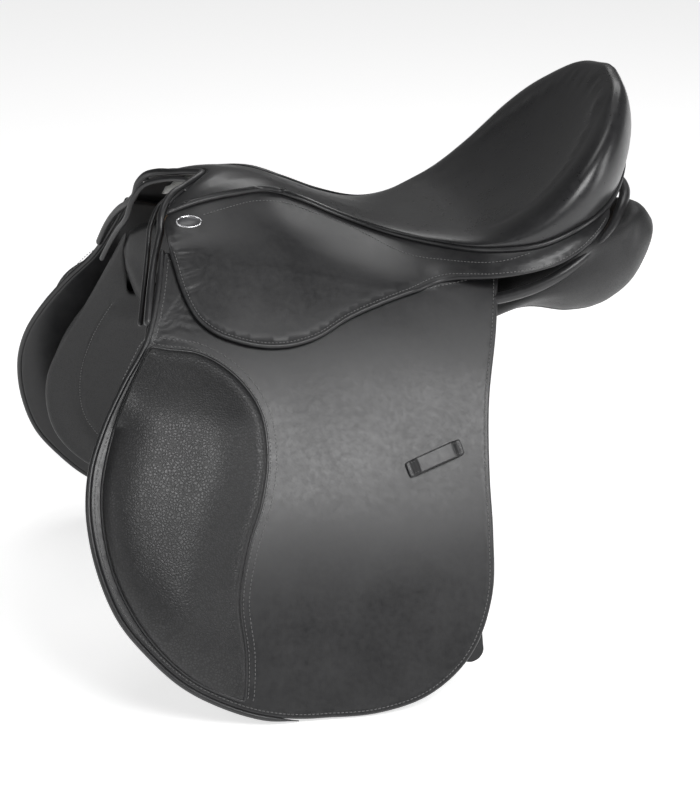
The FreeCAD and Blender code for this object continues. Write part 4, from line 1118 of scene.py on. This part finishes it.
PANEL = [
    (205, [(72, 76), (84, 50), (96, 36), (100, 34), (92, 50), (86, 60), (78, 76)]),
    (197, [(68, 82), (86, 40), (104, 14), (114, 10), (96, 36), (86, 56), (74, 82)]),
    (120, [(52, 66), (60, 30), (90, 2), (119, 3), (98, 34), (84, 56), (68, 70)]),
    (40, [(33, 50), (36, 14), (78, 0), (120, 3), (110, 34), (94, 54), (60, 64)]),
    (-40, [(32, 48), (34, 12), (76, 0), (120, 4), (112, 36), (94, 56), (60, 66)]),
    (-96, [(32, 52), (34, 26), (74, 18), (112, 29), (114, 44), (94, 60), (60, 70)]),
    (-130, [(32, 62), (34, 36), (74, 29), (120, 39), (140, 54), (132, 72), (66, 80)]),
    (-170, [(33, 78), (35, 42), (74, 25), (124, 36), (150, 70), (144, 92), (72, 98)]),
    (-208, [(37, 98), (39, 56), (76, 32), (122, 44), (141, 80), (134, 103), (80, 112)]),
    (-236, [(46, 110), (48, 78), (80, 55), (112, 66), (126, 94), (116, 116), (80, 120)]),
    (-247, [(60, 107), (62, 88), (82, 74), (104, 84), (112, 98), (104, 108), (82, 114)]),
    (-252, [(72, 102), (74, 94), (84, 86), (94, 92), (98, 98), (94, 104), (84, 106)]),
]


def make_panels():
    sides = 64
    stations = PANEL[::-1]
    rings = np.array([path([(y, z) for y, z in ring], 1, closed=True, count=sides) for _, ring in stations])
    places = np.array([x for x, _ in stations], float)
    xs = np.concatenate([np.linspace(-252, -240, 5)[:-1], np.linspace(-240, 205, 90)])
    columns = spline(places, rings, xs)
    solid = [np.concatenate([np.full((sides, 1), x), ring], axis=1) for x, ring in zip(xs, columns)]
    pad = skin(solid, (solid[0].mean(0) - (3, 0, 0), solid[-1].mean(0) + (4, 0, 0)))
    for piece in pair("panel_pad", pad, PANEL_LEATHER, on_root("panel_leather", "panel")):
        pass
    seam_at = int(sides * 0.36)
    low = np.array([ring[seam_at] for ring in solid])[6:60]
    middle = np.array([ring.mean(0) for ring in solid])[6:60]
    out = low - middle
    out /= np.linalg.norm(out, axis=1)[:, None]
    pair("panel_rear_seam", tube(path(low - out * 0.3, 4), 1.1, 8), ROLL_LEATHER, on_root("panel_leather"))
    left = [(-60, 128, 46), (-101, 138, 53), (-128, 144, 62), (-154, 146, 75), (-179, 140, 90), (-204, 124, 107),
            (-216, 108, 118), (-228, 84, 124), (-238, 50, 126), (-241, 0, 127)]
    roll = path(left + [(x, -y, z) for x, y, z in left[-2::-1]], 3)
    end = np.minimum(np.arange(len(roll)), np.arange(len(roll))[::-1])
    piece = add_mesh("panel_top_roll", *tube(roll, 5.2 * (0.35 + 0.65 * ease(end, 0, 14)), 14), ROLL_LEATHER)
    on_root("panel_leather")(piece)


PANEL_FLAP = [
    flap_points([(0.785, 0.06), (0.82, 0.18), (0.865, 0.31), (0.918, 0.435), (0.947, 0.54), (0.947, 0.61), (0.92, 0.72),
                 (0.865, 0.80), (0.75, 0.88), (0.55, 0.92), (0.35, 0.91), (0.20, 0.85), (0.12, 0.72)]),
    flap_points([(0.08, 0.50)]), flap_points([(0.03, 0.275)]), flap_points([(0.762, 0.275)])]
SWEAT_FLAP = [
    flap_points([(0.78, 0.22), (0.88, 0.36), (0.93, 0.52), (0.90, 0.70), (0.80, 0.83), (0.62, 0.90), (0.40, 0.92),
                 (0.22, 0.87), (0.13, 0.74)]),
    flap_points([(0.09, 0.48)]), flap_points([(0.03, 0.24)])]


def make_panel_flaps():
    """The thin stuffed part of the panel under the flap; its inner face has a sewn seam with fine puckers."""
    outline = counterclockwise(soften(joined(PANEL_FLAP, 3), 5))
    middle = 765.8
    deep = 8.4
    sewn = path(flap_points([(0.80, 0.30), (0.845, 0.42), (0.865, 0.54), (0.85, 0.66), (0.79, 0.76)]), 3)
    lines = [path([tuple(p), tuple(p + q)], 3) for p, q in
             zip(sewn[2::2], np.stack([-9 - 3 * np.sin(np.arange(len(sewn[2::2])) * 2.1),
                                       -6 - 2 * np.cos(np.arange(len(sewn[2::2])) * 1.7)], axis=1))]

    def front(flat, d):
        return deep * (0.35 * dome(d, 4) + 0.65 * ease(d, 1, 26))

    def back(flat, d):
        return (deep * (0.35 * dome(d, 4) + 0.65 * ease(d, 1, 30)) - 1.4 * dent(flat, sewn, 2.4)
                - creases(flat, lines, 1.0, 0.5))

    low, high = sewn.min(0) - 16, sewn.max(0) + 6
    shape = slab(outline, barrel(middle), front, back, 5, rings=(0.6, 1.6, 3.2, 5.5), extra=patch(low, high, 2.2))
    for piece in pair("panel_flap_pad", shape, PANEL_LEATHER, on_root("panel_leather", "panel_flap")):
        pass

    def inner(flat):
        points, normals = barrel(middle - deep + 1.1)(flat)
        return points, -normals

    pair("panel_flap_stitches", seam(sewn, inner, 0.0), THREAD, on_root("panel_leather"))


def make_sweat_flaps():
    outline = counterclockwise(soften(joined(SWEAT_FLAP, 3), 4))
    half = 1.25

    def face(flat, d):
        return half * dome(d, half) - 0.25 * np.exp(-((d - 4) / 0.6) ** 2)

    shape = slab(outline, barrel(776.55), face, lambda flat, d: half * dome(d, half), 6, rings=(0.4, 1.2, 2.6, 4, 5.4))
    pair("sweat_flap_leather", shape, GIRTH_LEATHER, on_root("girth_leather", "sweat_flap"))
    row = shrink(outline, 4, True)
    pair("sweat_flap_stitches", seam(np.concatenate([row, row[:1]]), barrel(777.75), 0.0, pitch=4), THREAD,
         on_root("girth_leather"))


# ---------------------------------------------------------------- stud on the skirt

def make_badges():
    """An oval stud with a bright rim and a plain dark field."""
    low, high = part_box("badge_stud_left")
    centre = np.array([(a + b) / 2 / MM for a, b in zip(low, high)])
    spot, normal = skirt_place(centre[None, [0, 2]])
    normal = normal[0]
    spot = spot[0] + normal * SKIRT_THICK / 2
    along = np.cross((0.0, 0.0, 1.0), normal)
    along /= np.linalg.norm(along)
    along *= -np.sign(along[0])
    up = np.cross(normal, along)
    up *= np.sign(up[2])
    profile = [(0.97, -0.6), (1.0, 0.3), (0.99, 0.9), (0.955, 1.25), (0.91, 1.3), (0.875, 1.05), (0.86, 0.75),
               (0.83, 0.8), (0.65, 1.25), (0.4, 1.55), (0.15, 1.7)]
    turns = np.linspace(0, 2 * math.pi, 64, endpoint=False)
    rings = []
    for share, height in profile:
        ring = (spot + normal * height + share * 12 * np.cos(turns)[:, None] * along
                + share * 7.5 * np.sin(turns)[:, None] * up)
        rings.append(ring)
    points, faces = skin(rings, (spot - normal * 0.6, spot + normal * 1.72))
    slots = []
    for face in faces:
        ring = min(index // 64 if index < 64 * len(profile) else len(profile) for index in face)
        slots.append(1 if ring >= 6 else 0)
    for k, face in enumerate(faces):
        if 64 * len(profile) in face:
            slots[k] = 0
    pair("badge_stud_oval", (points, faces), [STUD_METAL, STUD_FIELD], on_root("stud_metal", "badge_stud"), slots)


# ---------------------------------------------------------------- finishes of the nodes that stay

FINISHES = {
    "billet_front": GIRTH_LEATHER, "billet_middle": GIRTH_LEATHER, "billet_rear": GIRTH_LEATHER,
    "billet_tops": GIRTH_LEATHER, "buckle_guard": GIRTH_LEATHER, "girth_webs": WEBBING, "seat_webs": WEBBING,
    "seat_cross_web": WEBBING, "tree_head": WOOD, "tree_cantle": WOOD, "tree_rail": WOOD, "head_plate": STEEL,
    "gullet_plate": STEEL, "tree_spring": STEEL, "tree_rivets": BAR_STEEL, "stirrup_bar": BAR_STEEL,
    "stirrup_catch": BAR_STEEL, "catch_pin": BAR_STEEL, "gullet_stud": STUD_METAL}


def finish_nodes():
    for name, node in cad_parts.items():
        material = FINISHES.get(name.removesuffix("_left").removesuffix("_right"))
        if material:
            node.data.materials.clear()
            node.data.materials.append(material)


# ---------------------------------------------------------------- floor, light, camera

def make_stage():
    floor_z = CAD_BOX[0][2] - 0.002
    mesh = bpy.data.meshes.new("floor")
    wide = 30
    mesh.from_pydata([(x, y, floor_z) for x, y in ((-wide, -wide), (wide, -wide), (wide, wide), (-wide, wide))],
                     [], [(0, 1, 2, 3)])
    floor = bpy.data.objects.new("floor", mesh)
    material, tree, shader = new_material("pale_floor", 0.9)
    shader.inputs["Base Color"].default_value = (0.86, 0.86, 0.86, 1)
    shader.inputs["Emission Color"].default_value = (1, 1, 1, 1)
    shader.inputs["Emission Strength"].default_value = 0.68
    mesh.materials.append(material)
    bpy.context.scene.collection.objects.link(floor)


def soft_light(name, place, aim, wide, tall, watts):
    data = bpy.data.lights.new(name, "AREA")
    data.shape = "RECTANGLE"
    data.size = wide
    data.size_y = tall
    data.energy = watts
    lamp = bpy.data.objects.new(name, data)
    lamp.location = place
    lamp.rotation_euler = (Vector(aim) - Vector(place)).to_track_quat("-Z", "Y").to_euler()
    bpy.context.scene.collection.objects.link(lamp)


def make_light():
    world = bpy.data.worlds.new("pale_room")
    world.use_nodes = True
    background = world.node_tree.nodes["Background"]
    background.inputs["Color"].default_value = (1, 1, 1, 1)
    background.inputs["Strength"].default_value = 0.11
    bpy.context.scene.world = world
    bpy.context.scene.view_settings.view_transform = "Standard"
    soft_light("key_over_side", (-0.5, 2.3, 1.65), (0, 0.2, -0.05), 1.3, 1.0, 44)
    soft_light("top", (0.1, 0.1, 2.4), (0, 0, 0.1), 0.7, 1.3, 9)
    soft_light("fill_rear", (-1.9, 1.0, 0.6), (-0.2, 0.1, 0.1), 0.6, 1.2, 12)
    soft_light("fill_front", (1.7, 1.3, 0.7), (0.1, 0.1, 0), 0.8, 1.2, 7)
    soft_light("rim_over_back", (-0.8, -1.4, 1.7), (0, 0, 0.05), 1.6, 0.8, 10)


def make_camera():
    turn, rise, far = math.radians(13), math.radians(18), 3.0
    target = Vector((0.010, 0, -0.080))
    back = Vector((math.sin(turn) * math.cos(rise), math.cos(turn) * math.cos(rise), math.sin(rise)))
    data = bpy.data.cameras.new("camera")
    data.sensor_width = 36
    data.lens = 143.1
    camera = bpy.data.objects.new("camera", data)
    camera.location = target + back * far
    camera.rotation_euler = (-back).to_track_quat("-Z", "Y").to_euler()
    bpy.context.scene.collection.objects.link(camera)
    bpy.context.scene.camera = camera


make_camera()
make_stage()
make_light()
make_flaps()
make_knee_rolls()
make_keepers()
make_skirts()
make_seat()
make_seat_foam()
make_welts()
make_pommel_binding()
make_cantle_facing()
make_panels()
make_panel_flaps()
make_sweat_flaps()
make_badges()
finish_nodes()
